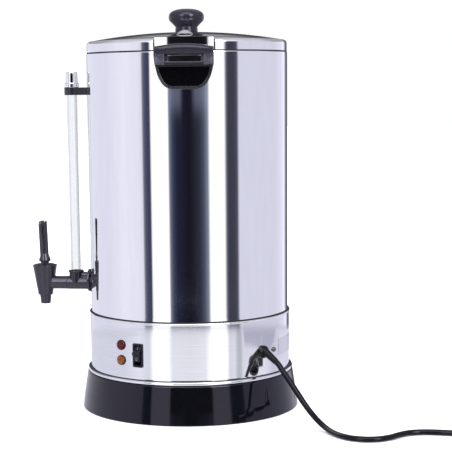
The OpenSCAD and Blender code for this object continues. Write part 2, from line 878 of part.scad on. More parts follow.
// The lever: a flared skirt on the pin and a paddle with a rib behind it
module tap_lever() {
    foot_w = 10.6;
    paddle_t = 5;
    rib_w = 4.5;
    depth_foot = 10.6;
    depth_top = 9.3;
    notch = 5;
    slot_w = 2 * stem_r + 0.8;
    slot_l = skirt_r + 3;
    color("#2b2b33")
        difference() {
            union() {
                translate([0, -tap_r, skirt_foot + 1.9 - eps])
                    cylinder(r1 = skirt_r, r2 = foot_w / 2, h = skirt_top - skirt_foot - 1.9);
                translate([0, -tap_r, skirt_foot])
                    cylinder(r1 = skirt_r - 1.2, r2 = skirt_r, h = 1.9);
                // the paddle, which widens towards its top
                translate([0, -tap_r - depth_foot / 2 + paddle_t, 0])
                    rotate([90, 0, 0])
                        linear_extrude(height = paddle_t)
                            polygon([
                                [-foot_w / 2, skirt_top - 2], [foot_w / 2, skirt_top - 2],
                                [foot_w / 2, skirt_top], [paddle_w / 2, lever_top - 4],
                                [paddle_w / 2 - 2, lever_top], [-paddle_w / 2 + 2, lever_top],
                                [-paddle_w / 2, lever_top - 4], [-foot_w / 2, skirt_top]
                            ]);
                // the rib behind it
                translate([-rib_w / 2, -tap_r, 0])
                    rotate([90, 0, 90])
                        linear_extrude(height = rib_w)
                            polygon([
                                [-depth_foot / 2 + paddle_t - 1, skirt_top - 2],
                                [depth_foot / 2, skirt_top - 2],
                                [depth_foot / 2, skirt_top],
                                [depth_top - depth_foot / 2, lever_top],
                                [depth_top - depth_foot / 2 - 2.2, lever_top],
                                [-depth_foot / 2 + paddle_t, lever_top - notch],
                                [-depth_foot / 2 + paddle_t - 1, lever_top - notch]
                            ]);
            }
            // the mouth of the skirt, in which the stem's head swings
            translate([-slot_w / 2, 4 - slot_l - tap_r, skirt_foot - 1])
                cube([slot_w, slot_l, pin_z + 4 - skirt_foot + 1]);
            translate([-pin_l / 2 - 0.5, -tap_r, pin_z])
                rotate([0, 90, 0]) cylinder(r = pin_r + run, h = pin_l + 1, $fn = 32);
        }
}

// The fitting between tap and tank, with the socket of the gauge glass on top
module gauge_tee() {
    color("#26262d")
        difference() {
            union() {
                translate([0, 0, tap_z]) bar_out(shank_r + 0.2, tee_foot, tee_end);
                translate([0, 0, tap_z + tee_flange_rise])
                    bar_out(tee_flange_r, tee_foot, tee_foot + tee_flange_t);
                translate([0, 0, tap_z + rib_rise]) bar_out(rib_r, tee_foot, glass_x - socket_r + 3);
                translate([0, -glass_x, tap_z]) cylinder(r = socket_r, h = socket_top - tap_z);
                translate([0, -glass_x, socket_top - socket_lip_h])
                    cylinder(r = socket_lip_r, h = socket_lip_h);
            }
            translate([0, 0, tap_z]) bar_out(spigot_r + run, tee_foot - 1, tee_end + 1);
            translate([0, -glass_x, glass_foot]) cylinder(r = seal_ring_r + run, h = 2 * socket_top);
            translate([0, -glass_x, tap_z]) cylinder(r = 3, h = socket_top - tap_z);
        }
}

// The silicone washer moulded to the tank's curve
module tap_washer() {
    washer_r = 13;
    color("#b7b3a8")
        difference() {
            translate([0, 0, tap_z]) bar_out(washer_r, tank_r - 3, tee_foot);
            translate([0, 0, tap_z]) bar_out(spigot_r + run, tank_r - 9, tee_foot + 1);
            tank_space(eps);
        }
}

// The washer and the nut inside the tank
module inner_washer() {
    washer_r = 12.5;
    back = tank_r - tank_sheet - inner_washer_t;
    color("#b7b3a8")
        difference() {
            intersection() {
                translate([0, 0, tap_z]) bar_out(washer_r, back, tank_r);
                cylinder(r = tank_r - tank_sheet - eps, h = z_rim, $fn = 180);
            }
            translate([0, 0, tap_z]) bar_out(spigot_r + run, back - 1, tank_r + 1);
        }
}

module tap_nut() {
    front = tank_r - tank_sheet - inner_washer_t;
    color("#2a2a30")
        difference() {
            translate([0, -front + nut_t, tap_z]) rotate([90, 0, 0]) cylinder(r = 13.5, h = nut_t, $fn = 6);
            translate([0, 0, tap_z]) bar_out(spigot_r + run, front - nut_t - 1, front + 1);
        }
}

// ---------------------------------------------------------------- level gauge

// The two rubber rings that hold the glass
module gauge_seals() {
    lower_h = socket_top - 1 - glass_foot;
    color("#3a3a3e")
        for (level = [[glass_foot, lower_h], [bracket_top - bracket_h + 2, bracket_h - 4]]) {
            translate([0, -glass_x, level[0]])
                difference() {
                    cylinder(r = seal_ring_r, h = level[1]);
                    translate([0, 0, level[0] == glass_foot ? 1 : -1]) cylinder(r = glass_r + eps, h = level[1] + 2);
                    translate([0, 0, -1]) cylinder(r = glass_r - glass_wall, h = 4);
                }
        }
}

// The gauge glass
module gauge_glass() {
    foot = glass_foot + 1;
    color("#dfe6f0")
        translate([0, -glass_x, foot])
            difference() {
                cylinder(r = glass_r, h = glass_top - foot);
                translate([0, 0, -1]) cylinder(r = glass_r - glass_wall, h = glass_top - foot + 2);
            }
}

// The bracket that steadies the glass near the mouth of the tank
module gauge_bracket() {
    collar_r = glass_r + 3.3;
    color("#202026")
        difference() {
            union() {
                translate([0, -glass_x, bracket_top - bracket_h]) cylinder(r = collar_r, h = bracket_h);
                translate([0, 0, bracket_z]) block_out(2 * collar_r - 4, bracket_h, tank_r - 3, glass_x);
                translate([0, 0, bracket_z]) block_out(2 * collar_r, bracket_h, tank_r - 3, tank_r + 5);
            }
            translate([0, -glass_x, bracket_top - bracket_h - 1])
                cylinder(r = glass_r + hair, h = bracket_h + 2);
            translate([0, -glass_x, bracket_top - bracket_h + 2])
                cylinder(r = seal_ring_r + run, h = bracket_h - 4);
            translate([0, 0, bracket_z]) bar_out(m4_r, tank_r - 9, tank_r + 9);
            tank_space(eps);
        }
}

// A screw from inside the tank, its head on the wall
module screw_out(r, l, head_r, head_t) {
    head = tank_r - tank_sheet - hair;
    bar_out(r, head - eps, tank_r + l);
    bar_out(head_r, head - head_t, head);
}

module bracket_screw() {
    color("#c6c8cd") translate([0, 0, bracket_z]) screw_out(m4_r, 8, 3.8, 2.4);
}

// The bright cap over the open end of the glass
module gauge_cap() {
    flange_r = 9.55;
    flange_h = 5.6;
    body_r = 8.2;
    top_r = 7.6;
    color("#e6e6ea")
        translate([0, -glass_x, bracket_top])
            difference() {
                union() {
                    cylinder(r = flange_r, h = flange_h);
                    translate([0, 0, flange_h - eps]) cylinder(r1 = body_r, r2 = top_r, h = cap_h - flange_h + eps);
                }
                translate([0, 0, -1]) cylinder(r = glass_r + hair, h = glass_top - bracket_top + 1.3);
                translate([0, 0, cap_h - 5]) cylinder(r = 1, h = 6, $fn = 24);
            }
}

// ---------------------------------------------------------------- handles

// The outline of a handle's plate, drawn in by an inset: sides that taper and a round foot
function shield(inset, top) = let (
    side = handle_w / 2 - inset,
    turn = handle_foot_w / 2,
    low = handle_foot + handle_corner_r,
    r = handle_corner_r - inset)
    concat(
        [[-side, top], [1.4 - side, handle_foot + 25.6], [3.1 - side, handle_foot + 18.8], [4.7 - side, handle_foot + 14.6]],
        arc(-turn, low, r, 203, 270, 9),
        arc(turn, low, r, 270, 337, 9),
        [[side - 4.7, handle_foot + 14.6], [side - 3.1, handle_foot + 18.8], [side - 1.4, handle_foot + 25.6], [side, top]]);

// One moulded handle: a back plate with a rounded foot, two arms and an arched grip
module handle() {
    half = handle_w / 2;
    arm_w = (handle_w - grip_gap_w) / 2;
    grip_out = tank_r + grip_reach;
    face = tank_r + handle_plate_t;
    cap_r = grip_h / 2;
    // the grip's middle follows a wide arch whose ends hang a little lower
    arch_z = grip_z - grip_arch_r;
    color("#17171c")
        difference() {
            union() {
                // the back plate
                translate([0, -tank_r + 12, 0])
                    rotate([90, 0, 0]) linear_extrude(height = handle_plate_t + 12) polygon(shield(0, plate_top + 2));
                // the lip along its top
                translate([-half + arm_w / 2, -face, plate_top + 2])
                    rotate([0, 90, 0]) cylinder(r = lip_r, h = handle_w - arm_w, $fn = 32);
                // the arms
                for (x = [-half, half - arm_w]) {
                    translate([x, 0, 0])
                        rotate([90, 0, 90])
                            linear_extrude(height = arm_w)
                                polygon([
                                    [-tank_r + 12, plate_top + 1],
                                    [-face - 2, plate_top + 0.3],
                                    [-grip_mid - 1, grip_z - cap_r - 2.6],
                                    [-grip_out + 4, grip_z - cap_r - 1],
                                    [-grip_out, grip_z - 3],
                                    [-grip_out + 1, grip_z + 2],
                                    [-grip_mid + 2, grip_z + cap_r - 3.2],
                                    [-tank_r + 12, grip_z + 1]
                                ]);
                }
                // the arched grip between them
                intersection() {
                    translate([0, -grip_mid, arch_z])
                        rotate([90, 0, 0])
                            rotate_extrude($fn = 180) {
                                translate([grip_arch_r, -(grip_t / 2 - cap_r)]) circle(r = cap_r, $fn = 32);
                                translate([grip_arch_r, grip_t / 2 - cap_r]) circle(r = cap_r, $fn = 32);
                                translate([grip_arch_r - cap_r, -(grip_t / 2 - cap_r)])
                                    square([grip_h, grip_t - grip_h]);
                            }
                    translate([-half + 1, -grip_out - 5, grip_z - cap_r + 0.5]) cube([handle_w - 2, grip_reach + 5, 40]);
                }
            }
            tank_space(eps);
            // the hollow in the plate's face, inside a narrow rim
            translate([0, handle_hollow - face, 0])
                rotate([90, 0, 0])
                    linear_extrude(height = handle_hollow + 3) polygon(shield(handle_rim, plate_top - 0.1));
            for (x = [-handle_screw_x, handle_screw_x]) {
                translate([x, 0, handle_screw_z]) bar_out(m5_r, tank_r - 20, tank_r + 5.2);
            }
        }
}

module handle_near() {
    around(handle_az) handle();
}

module handle_far() {
    around(handle_az + half_turn) handle();
}

// The screws that hold the handles from inside the tank
module handle_screws() {
    color("#c6c8cd")
        for (side = [0, 1], x = [-handle_screw_x, handle_screw_x]) {
            around(handle_az + half_turn * side)
            {
                translate([x, 0, handle_screw_z]) bar_out(m5_r, tank_r - 6, tank_r + 5);
                // the head's washer is formed to the wall
                intersection() {
                    translate([x, 0, handle_screw_z]) bar_out(4.6, tank_r - 6.4, tank_r);
                    cylinder(r = tank_r - tank_sheet - eps, h = z_rim, $fn = 180);
                }
            }
        }
}

// ---------------------------------------------------------------- controls

// The switch: a frame on the panel and a body behind it
module switch_body() {
    color("#17171b")
        around(switch_az)
            translate([0, 0, switch_z])
                difference() {
                    union() {
                        block_out(switch_w, switch_h, panel_r + eps, panel_r + frame_t);
                        block_out(can_w, can_h, panel_r - can_depth, panel_r + 2 * eps);
                        for (z = [-7, 7]) {
                            translate([0, 0, z]) block_out(6.3, 0.8, panel_r - can_depth - 8, panel_r - can_depth + eps);
                        }
                    }
                    block_out(well_w, well_h, panel_r - pivot_depth - well_h / 3, panel_r + frame_t + 1);
                    // the bearings of the rocker's pivots
                    translate([0, pivot_depth - panel_r, 0])
                        rotate([0, 90, 0]) cylinder(r = pivot_r + run, h = pivot_l + 2 * hair, center = true, $fn = 32);
                }
}

// The rocker's outline, seen from the side, about its pivot
rocker_lean = rocker_swing / 2;
module switch_rocker() {
    half = well_h / 2 - 2.4;
    front = pivot_depth + wing_h;
    crest = pivot_depth + hump_h;
    keel = 3;
    color("#1d1d22")
        around(switch_az)
            translate([0, -panel_r + pivot_depth, switch_z])
                rotate([-rocker_lean, 0, 0]) {
                    translate([-rocker_w / 2, 0, 0])
                        rotate([90, 0, 90])
                            linear_extrude(height = rocker_w)
                                polygon([
                                    [-front, half], [-front - 1.2, half - 4], [-crest + 2.6, 3.4],
                                    [-crest + 0.4, 0.9], [-crest, 0], [-crest + 0.4, -0.9],
                                    [-crest + 2.6, -3.4], [-front - 1.2, 4 - half], [-front, -half],
                                    [-front + keel, -half], [keel, -keel], [keel, keel], [-front + keel, half]
                                ]);
                    rotate([0, 90, 0]) cylinder(r = pivot_r, h = pivot_l, center = true, $fn = 32);
                }
}

// An indicator lamp: a domed lens on a neck through the panel and a body behind it
module lamp(lift) {
    lens_t = 3.6;
    lens_r = lamp_d / 2;
    ball_r = (lens_r * lens_r + lens_t * lens_t) / (2 * lens_t);
    around(lamp_az)
        translate([0, 0, z_panel + lift]) {
            intersection() {
                translate([0, -panel_r - lens_t + ball_r, 0]) sphere(r = ball_r);
                bar_out(lens_r, panel_r + hair, panel_r + lens_t + 1);
            }
            bar_out(lamp_neck_r, panel_r - lamp_body_l, panel_r + hair + eps);
        }
}

module red_lamp() {
    color("#6d1027") lamp(red_lamp_lift);
}

module amber_lamp() {
    color("#b4682c") lamp(amber_lamp_lift);
}

// The spring clips behind the panel that hold the lamps
module lamp_clips() {
    color("#b4b5ba")
        for (lift = [red_lamp_lift, amber_lamp_lift]) {
            around(lamp_az)
                translate([0, 0, z_panel + lift])
                    difference() {
                        bar_out(7.5, panel_r - panel_sheet - 2.2, panel_r - panel_sheet - 0.6);
                        bar_out(lamp_neck_r + run, panel_r - 9, panel_r);
                    }
        }
}

// A bare foil where a rating label would be
module rating_plate() {
    z = z_panel + 32.5;
    color("#c4c6cf")
        intersection() {
            difference() {
                translate([0, 0, z - plate_h / 2]) cylinder(r = panel_r + foil_t, h = plate_h, $fn = 180);
                translate([0, 0, z - plate_h]) cylinder(r = panel_r + eps, h = 2 * plate_h, $fn = 180);
            }
            around(plate_az)
                linear_extrude(height = 2 * z)
                    polygon([
                        [0, 0],
                        [-2 * panel_r * sin(plate_angle / 2), -2 * panel_r * cos(plate_angle / 2)],
                        [2 * panel_r * sin(plate_angle / 2), -2 * panel_r * cos(plate_angle / 2)]
                    ]);
        }
}

// The earth screw with its washer, and the nut behind the panel
module earth_screw() {
    color("#c8c9cf")
        around(earth_az)
            translate([0, 0, gland_z]) {
                difference() {
                    union() {
                        bar_out(3.2, panel_r + hair, panel_r + 0.8);
                        bar_out(2.7, panel_r + 0.8 - eps, panel_r + 2.4);
                    }
                    block_out(1, 7, panel_r + 1.4, panel_r + 3);
                }
                bar_out(m4_r, panel_r - 12, panel_r + hair + eps);
                translate([0, -(panel_r - panel_sheet - 1 - 3.2), 0])
                    rotate([90, 0, 0]) cylinder(r = 4, h = 3.2, $fn = 6);
            }
}

// ---------------------------------------------------------------- lead

// The gland: a flange and a boss on the panel, and a soft nose that droops with the lead
module cord_gland() {
    boss = panel_r + gland_flange_t + gland_boss_l;
    nose_r = lead_r + 0.5;
    color("#141418")
        around(gland_az)
            translate([0, 0, gland_z])
                difference() {
                    union() {
                        bar_out(gland_d / 2, panel_r + hair, panel_r + gland_flange_t);
                        bar_out(gland_d / 2 - 0.6, panel_r + gland_flange_t - eps, boss, gland_d / 2 - 1.8);
                        translate([0, -boss, 0])
                            rotate([gland_droop, 0, 0])
                                translate([0, 2, 0])
                                    rotate([90, 0, 0]) cylinder(r1 = nose_r + 1, r2 = nose_r, h = gland_nose_l + 2);
                        bar_out(gland_neck_r, panel_r - gland_inner_l, panel_r + hair + eps);
                    }
                }
}

module gland_nut() {
    color("#1b1b1f")
        around(gland_az)
            translate([0, 0, gland_z])
                difference() {
                    translate([0, -(panel_r - panel_sheet - 1 - 5), 0])
                        rotate([90, 0, 0]) cylinder(r = 10.5, h = 5, $fn = 6);
                    bar_out(gland_neck_r + run, panel_r - 15, panel_r);
                }
}

// The lead from the gland down to the resting surface and on to its coil
module mains_cord() {
    d0 = unit(spot(gland_az, cos(gland_droop), 0) - [0, 0, sin(gland_droop)]);
    color("#18181c") swept(lead_route, lead_r, 8, t0 = d0, t1 = [0, 1, 0]);
}

// The coil: in on the surface, up one layer in half a turn, and out again on top
function coil_radius(a) =
    let (inward = 360 * coil_turns_in, climb = inward + half_turn)
    a < inward ? coil_inner_r + coil_pitch * (inward - a) / 360
    : a < climb ? coil_inner_r : coil_inner_r + coil_pitch * (a - climb) / 360;
function coil_level(a) =
    let (inward = 360 * coil_turns_in)
    coil_z + coil_step * max(0, min(1, (a - inward) / half_turn));
function coil_point(a) =
    [coil_x + coil_radius(a) * cos(a), coil_y + coil_radius(a) * sin(a), coil_level(a)];
coil_sweep = 360 * (coil_turns_in + coil_turns_out) + half_turn;
coil_turns_path = [for (a = [0 : 360 / coil_rings : coil_sweep]) coil_point(a)];
coil_end = coil_point(coil_sweep);
coil_path = concat(
    [coil_point(0) - [0, coil_tail, 0]],
    coil_turns_path,
    [coil_end - [coil_tail, 0, 0]]);

// The least gap between turns, measured on the points of the route
turn_gap = min([for (i = [0 : len(coil_turns_path) - 1])
    for (k = [i + 12 : 1 : len(coil_turns_path) - 1])
        norm(coil_turns_path[i] - coil_turns_path[k])]) - lead_d;
echo(least_gap_between_turns = turn_gap);  // cord_coil

module cord_coil() {
    color("#18181c") swept(coil_path, lead_r, 6, t0 = [0, 1, 0], t1 = [-1, 0, 0]);
}

// A moulded plug that lies beside the coil with its pins up
module mains_plug() {
    x0 = coil_end[0] - coil_tail;
    round_r = 6;
    color("#17171b")
        translate([x0, coil_end[1], plug_z]) {
            rotate([0, -90, 0]) cylinder(r1 = lead_r + 0.6, r2 = 7, h = plug_relief_l + 1);
            difference() {
                translate([-plug_relief_l - plug_body_l, -plug_body_w / 2, -plug_body_h / 2])
                    cube([plug_body_l, plug_body_w, plug_body_h]);
                for (s = [-1, 1], e = [-plug_relief_l - plug_body_l, -plug_relief_l]) {
                    translate([e, s * plug_body_w / 2, 0])
                        difference() {
                            cube([2 * round_r, 2 * round_r, plug_body_h + 2], center = true);
                            translate([e == -plug_relief_l ? -round_r : round_r, -s * round_r, 0])
                                cylinder(r = round_r, h = plug_body_h + 4, center = true);
                        }
                }
            }
        }
}

// The three flat pins on the plug's face
module plug_pins() {
    x0 = coil_end[0] - coil_tail - plug_relief_l;
    color("#c9a44c")
        translate([x0, coil_end[1], plug_z + plug_body_h / 2]) {
            for (y = [-11.1, 11.1]) {
                translate([-17.5, y - 3.2, 0]) cube([4, 6.4, 17.7]);
            }
            translate([-41.7, -2, 0]) cube([8, 4, 22.7]);
        }
}

// ---------------------------------------------------------------- lid

lid_r = tank_r - lid_inset;
lid_skirt_r = tank_r - 2 * rim_roll_r - 1.4;
lid_base = z_rim;
dome_foot_z = lid_base + lid_band_h + lid_corner_r;
dome_edge_r = lid_r - lid_corner_r;
dome_r = (dome_edge_r * dome_edge_r + lid_dome_rise * lid_dome_rise) / (2 * lid_dome_rise);
dome_mid_z = dome_foot_z + lid_dome_rise - dome_r;
lid_top = dome_foot_z + lid_dome_rise;

// Height of the dome's outside at a distance from the axis
function dome_z(r) = dome_mid_z + sqrt(dome_r * dome_r - r * r);

// The lid's profile, moved in by a wall for its inside
function lid_profile(wall) =
    let (steps = 12, edge = dome_edge_r)
    concat(
        [[0, lid_base + wall], [lid_r - wall, lid_base + wall]],
        arc(edge, lid_base + lid_band_h, lid_corner_r - wall, 0, 84, 6),
        [for (i = [0 : steps]) let (r = edge * (1 - i / steps)) [r, dome_z(r) - wall]]);

// An ear's profile: an upright face up to a flat shelf that meets the dome
function ear_profile(wall) = [
    [lid_r - 30, lid_base + lid_band_h - 2],
    [lid_r - 30, lid_base + ear_h - wall],
    [lid_r + 1 - wall, lid_base + ear_h - wall],
    [lid_r + 1 - wall, lid_base + 4 + wall],
    [lid_r - wall - 0.5, lid_base + 3]
];

module ear_solid(wall, w) {
    for (side = [0, 1]) {
        around(handle_az + half_turn * side)
            intersection() {
                rotate_extrude($fn = 180) polygon(ear_profile(wall));
                translate([-w / 2, -2 * lid_r, 0]) cube([w, 2 * lid_r, 2 * z_rim]);
            }
    }
}

// The steam vent: a small pressed hood, open towards the rim
vent_mouth_r = 97;
vent_l = 26;
module vent_hood(wall) {
    w = vent_w / 2 - wall;
    h = vent_h + 3 - wall;
    crown_r = (w * w + h * h) / (2 * h);
    around(handle_az)
        intersection() {
            translate([0, 0, dome_z(vent_mouth_r) - 3 + h - crown_r])
                bar_out(crown_r, vent_mouth_r - vent_l + wall, vent_mouth_r + (wall > 0 ? 1 : 0));
            translate([-vent_w, -vent_mouth_r - 5, dome_z(vent_mouth_r) - 3]) cube([2 * vent_w, vent_l + 10, 20]);
        }
}

// The lid pressing, with its ears, its vent and the hole for the knob's screw
module lid_shell() {
    color("#d6d7df")
        difference() {
            union() {
                rotate_extrude($fn = 180) polygon(lid_profile(0));
                ear_solid(0, ear_w);
                vent_hood(0);
            }
            rotate_extrude($fn = 180) polygon(lid_profile(lid_sheet));
            ear_solid(lid_sheet, ear_w - 2 * lid_sheet);
            vent_hood(lid_sheet);
            // the open underside, inside the turned-in flange
            translate([0, 0, lid_base - 1]) cylinder(r = lid_skirt_r + hair, h = 4, $fn = 180);
            cylinder(r = m4_r + run, h = 2 * z_rim, $fn = 32);
        }
}

// The skirt that keeps the lid in the tank's mouth
module lid_skirt() {
    skirt_t = 0.8;
    color("#c9cad2")
        rotate_extrude($fn = 180) {
            translate([lid_skirt_r - skirt_t, lid_base - lid_skirt_h])
                square([skirt_t, lid_skirt_h + lid_sheet + eps]);
            translate([lid_skirt_r - 6, lid_base + lid_sheet]) square([8, skirt_t]);
        }
}

// The knob: a round foot that opens into a flat-topped head
module lid_knob() {
    r = knob_d / 2;
    foot_r = knob_foot_d / 2;
    foot_z = dome_z(foot_r) - 0.6;
    z0 = lid_top - lid_dome_rise * 0.02;
    top = lid_top + knob_h;
    wide_z = top - 9;
    color("#131317")
        difference() {
            rotate_extrude()
                polygon(concat(
                    [[0, foot_z], [foot_r, foot_z], [foot_r - 0.6, z0 + 7]],
                    arc(r + 0.2, z0 + 8, r - foot_r, 180, 122, 5),
                    arc(r - 5, wide_z, 5, -20, 70, 7),
                    [[r * 0.5, top - 0.8], [0, top]]));
            // the foot is hollowed to the dome's curve
            translate([0, 0, dome_mid_z]) sphere(r = dome_r + hair, $fn = 180);
            cylinder(r = m4_r + run, h = top - 12, $fn = 32);
        }
}

// The screw and washer that hold the knob from inside the lid
module knob_screw() {
    seat = lid_top - lid_sheet;
    color("#c6c8cd") {
        translate([0, 0, seat - 1.5]) cylinder(r = 6, h = 1.3, $fn = 48);
        translate([0, 0, seat - 4]) cylinder(r = 3.8, h = 2.6, $fn = 48);
        translate([0, 0, seat - 1.6]) cylinder(r = m4_r, h = knob_h - 14, $fn = 32);
    }
}

base_ring();
base_plate();
rubber_feet();
base_screws();
housing_panel();
housing_screws();
tank_wall();
tank_floor();
heater_plate();
boil_element();
warm_element();
boil_thermostat();
thermal_cutout();
sensor_strap();
terminal_block();
inner_cable();
wiring();
tap_body();
tap_bonnet();
tap_stem();
tap_seal();
tap_spring();
lever_pin();
tap_lever();
gauge_tee();
tap_washer();
inner_washer();
tap_nut();
gauge_seals();
gauge_glass();
gauge_bracket();
bracket_screw();
gauge_cap();
handle_near();
handle_far();
handle_screws();
switch_body();
switch_rocker();
red_lamp();
amber_lamp();
lamp_clips();
cord_gland();
gland_nut();
mains_cord();
cord_coil();
mains_plug();
plug_pins();
rating_plate();
earth_screw();
lid_shell();
lid_skirt();
lid_knob();
knob_screw();
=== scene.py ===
# %% [markdown]
# # A steel hot water urn
#
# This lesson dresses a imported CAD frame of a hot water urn. The frame gives every
# size and every moving body. The cells below add the camera, the materials, the
# mains lead, the detailed surfaces and the studio, one idea at a time.
# Lengths are millimetres, `MM` turns them into metres, and azimuths are degrees from
# the tap, counter-clockwise as seen from above.

# %% Load the frame
import json
import math

import bmesh
import bpy
import numpy as np
from mathutils import Matrix, Vector


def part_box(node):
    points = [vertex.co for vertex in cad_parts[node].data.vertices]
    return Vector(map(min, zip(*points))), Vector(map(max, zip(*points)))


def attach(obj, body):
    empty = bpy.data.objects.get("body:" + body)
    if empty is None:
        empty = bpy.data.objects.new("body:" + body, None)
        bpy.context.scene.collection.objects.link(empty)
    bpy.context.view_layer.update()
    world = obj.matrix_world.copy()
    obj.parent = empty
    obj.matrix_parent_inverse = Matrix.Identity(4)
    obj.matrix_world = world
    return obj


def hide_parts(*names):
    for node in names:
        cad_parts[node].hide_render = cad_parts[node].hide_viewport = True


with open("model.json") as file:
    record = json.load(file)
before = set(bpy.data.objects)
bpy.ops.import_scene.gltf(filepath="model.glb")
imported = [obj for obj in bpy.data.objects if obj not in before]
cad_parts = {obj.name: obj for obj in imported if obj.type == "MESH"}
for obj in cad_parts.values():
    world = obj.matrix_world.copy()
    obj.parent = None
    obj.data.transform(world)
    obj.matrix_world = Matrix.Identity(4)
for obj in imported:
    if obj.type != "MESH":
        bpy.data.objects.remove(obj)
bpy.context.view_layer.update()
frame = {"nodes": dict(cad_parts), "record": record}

MM = 0.001
nodes = frame["nodes"]
scene = bpy.context.scene


def span(node, axis):
    """Lowest and highest value of a CAD node along axis 0, 1 or 2, in millimetres."""
    low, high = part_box(node)
    return low[axis] / MM, high[axis] / MM


# %% [markdown]
# ## Named values
# The frame's own boxes give the levels and the lid's radius, so a taller urn in the CAD
# moves the looks too. The other radii and the azimuths repeat those of the CAD.

# %% Levels from the frame, radii and azimuths
BASE_TOP = span("base_ring", 2)[1]
PANEL_FOOT, TANK_FOOT = span("housing_panel", 2)
RIM = span("tank_wall", 2)[1]
LID_R = span("lid_shell", 1)[1]
TANK_R, PANEL_R, SHEET = 135.0, 137.2, 0.8
BEAD, TOP_BEAD = 2.75, 1.3
FACE_FOOT = PANEL_FOOT + 2 * BEAD
HANDLE_AZ, LAMP_AZ, SWITCH_AZ, GLAND_AZ, FOIL_AZ = 97.0, 57.0, 68.5, 143.0, 176.0
GLAND_Z, SWITCH_Z, FOIL_Z = FACE_FOOT + 31.6, FACE_FOOT + 32.4, FACE_FOOT + 32.5
GAUGE_AXIS = (0.0, -159.6)
print("rim", round(RIM, 1), "lid radius", round(LID_R, 1))


def spot(azimuth, reach, z):
    """A point at an azimuth from the tap, a distance from the axis and a height:
    (x, y) = reach (sin a, -cos a)."""
    a = math.radians(azimuth)
    return np.array([reach * math.sin(a), -reach * math.cos(a), z])


def turned(points, azimuth):
    """Points drawn facing -Y, turned about Z to an azimuth:
    x' = x cos a - y sin a, y' = x sin a + y cos a."""
    a = math.radians(azimuth)
    p = np.array(points, float)
    q = p.copy()
    q[..., 0] = p[..., 0] * math.cos(a) - p[..., 1] * math.sin(a)
    q[..., 1] = p[..., 0] * math.sin(a) + p[..., 1] * math.cos(a)
    return q


# %% [markdown]
# ## The camera
# A fit of the tank's ellipses gave the distance, height, pitch and roll.
# The principal point is off the picture's centre, so the lens is shifted.

# %% Camera
CAM_AZ, CAM_DISTANCE, CAM_HEIGHT = 98.4, 1983.2, 435.8
CAM_PITCH, CAM_ROLL, CAM_FOCAL = 9.072, 0.664, 1447.6
SENSOR, IMAGE_PX, PRINCIPAL_PX = 36.0, 452.0, (189.79, 318.17)

camera_data = bpy.data.cameras.new("studio_camera")
camera = bpy.data.objects.new("studio_camera", camera_data)
scene.collection.objects.link(camera)
scene.camera = camera
camera_data.sensor_width = SENSOR
camera_data.lens = CAM_FOCAL * SENSOR / IMAGE_PX
camera_data.shift_x = (IMAGE_PX / 2 - PRINCIPAL_PX[0]) / IMAGE_PX
camera_data.shift_y = (PRINCIPAL_PX[1] - IMAGE_PX / 2) / IMAGE_PX
camera_data.clip_start, camera_data.clip_end = 0.05, 60.0
toward = Vector(spot(CAM_AZ, 1.0, 0.0))
pitch, roll = math.radians(CAM_PITCH), math.radians(CAM_ROLL)
ahead = -toward * math.cos(pitch) - Vector((0, 0, math.sin(pitch)))
level_right = ahead.cross(Vector((0, 0, 1))).normalized()
level_up = level_right.cross(ahead)
right = level_right * math.cos(roll) - level_up * math.sin(roll)
up = level_right * math.sin(roll) + level_up * math.cos(roll)
pose = Matrix((right, up, -ahead)).transposed().to_4x4()
pose.translation = Vector(spot(CAM_AZ, CAM_DISTANCE, CAM_HEIGHT)) * MM
camera.matrix_world = pose

# %% [markdown]
# ## Tools for surfaces
# Nearly every piece is a grid of points: a closed profile turned round an axis,
# or rings of points lofted along a path. One function links them all.

# %% Adding meshes
materials = {}


def face_outwards(mesh):
    """Turns every face of a closed mesh outwards."""
    work = bmesh.new()
    work.from_mesh(mesh)
    bmesh.ops.recalc_face_normals(work, faces=work.faces)
    work.to_mesh(mesh)
    work.free()


def add_mesh(name, verts, faces, body, material, uv, sharp=32.0):
    """Adds a mesh from points in millimetres, gives it outward normals and smooth shading
    with sharp edges over an angle in degrees, and makes it ride on a CAD body."""
    mesh = bpy.data.meshes.new(name)
    mesh.from_pydata((np.asarray(verts, float) * MM).tolist(), [], faces)
    layer = mesh.uv_layers.new(name="Surface")
    layer.data.foreach_set("uv", np.asarray(uv, np.float32).ravel())
    face_outwards(mesh)
    mesh.polygons.foreach_set("use_smooth", [True] * len(mesh.polygons))
    mesh.set_sharp_from_angle(angle=math.radians(sharp))
    obj = bpy.data.objects.new(name, mesh)
    scene.collection.objects.link(obj)
    mesh.materials.append(materials[material])
    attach(obj, body)
    print(name, len(mesh.polygons), "faces")
    return obj


def arc(x, y, radius, start, end, count):
    """Points (x + r cos a, y + r sin a), with the angle a from start to end in radians."""
    return [(x + radius * math.cos(a), y + radius * math.sin(a)) for a in np.linspace(start, end, count)]


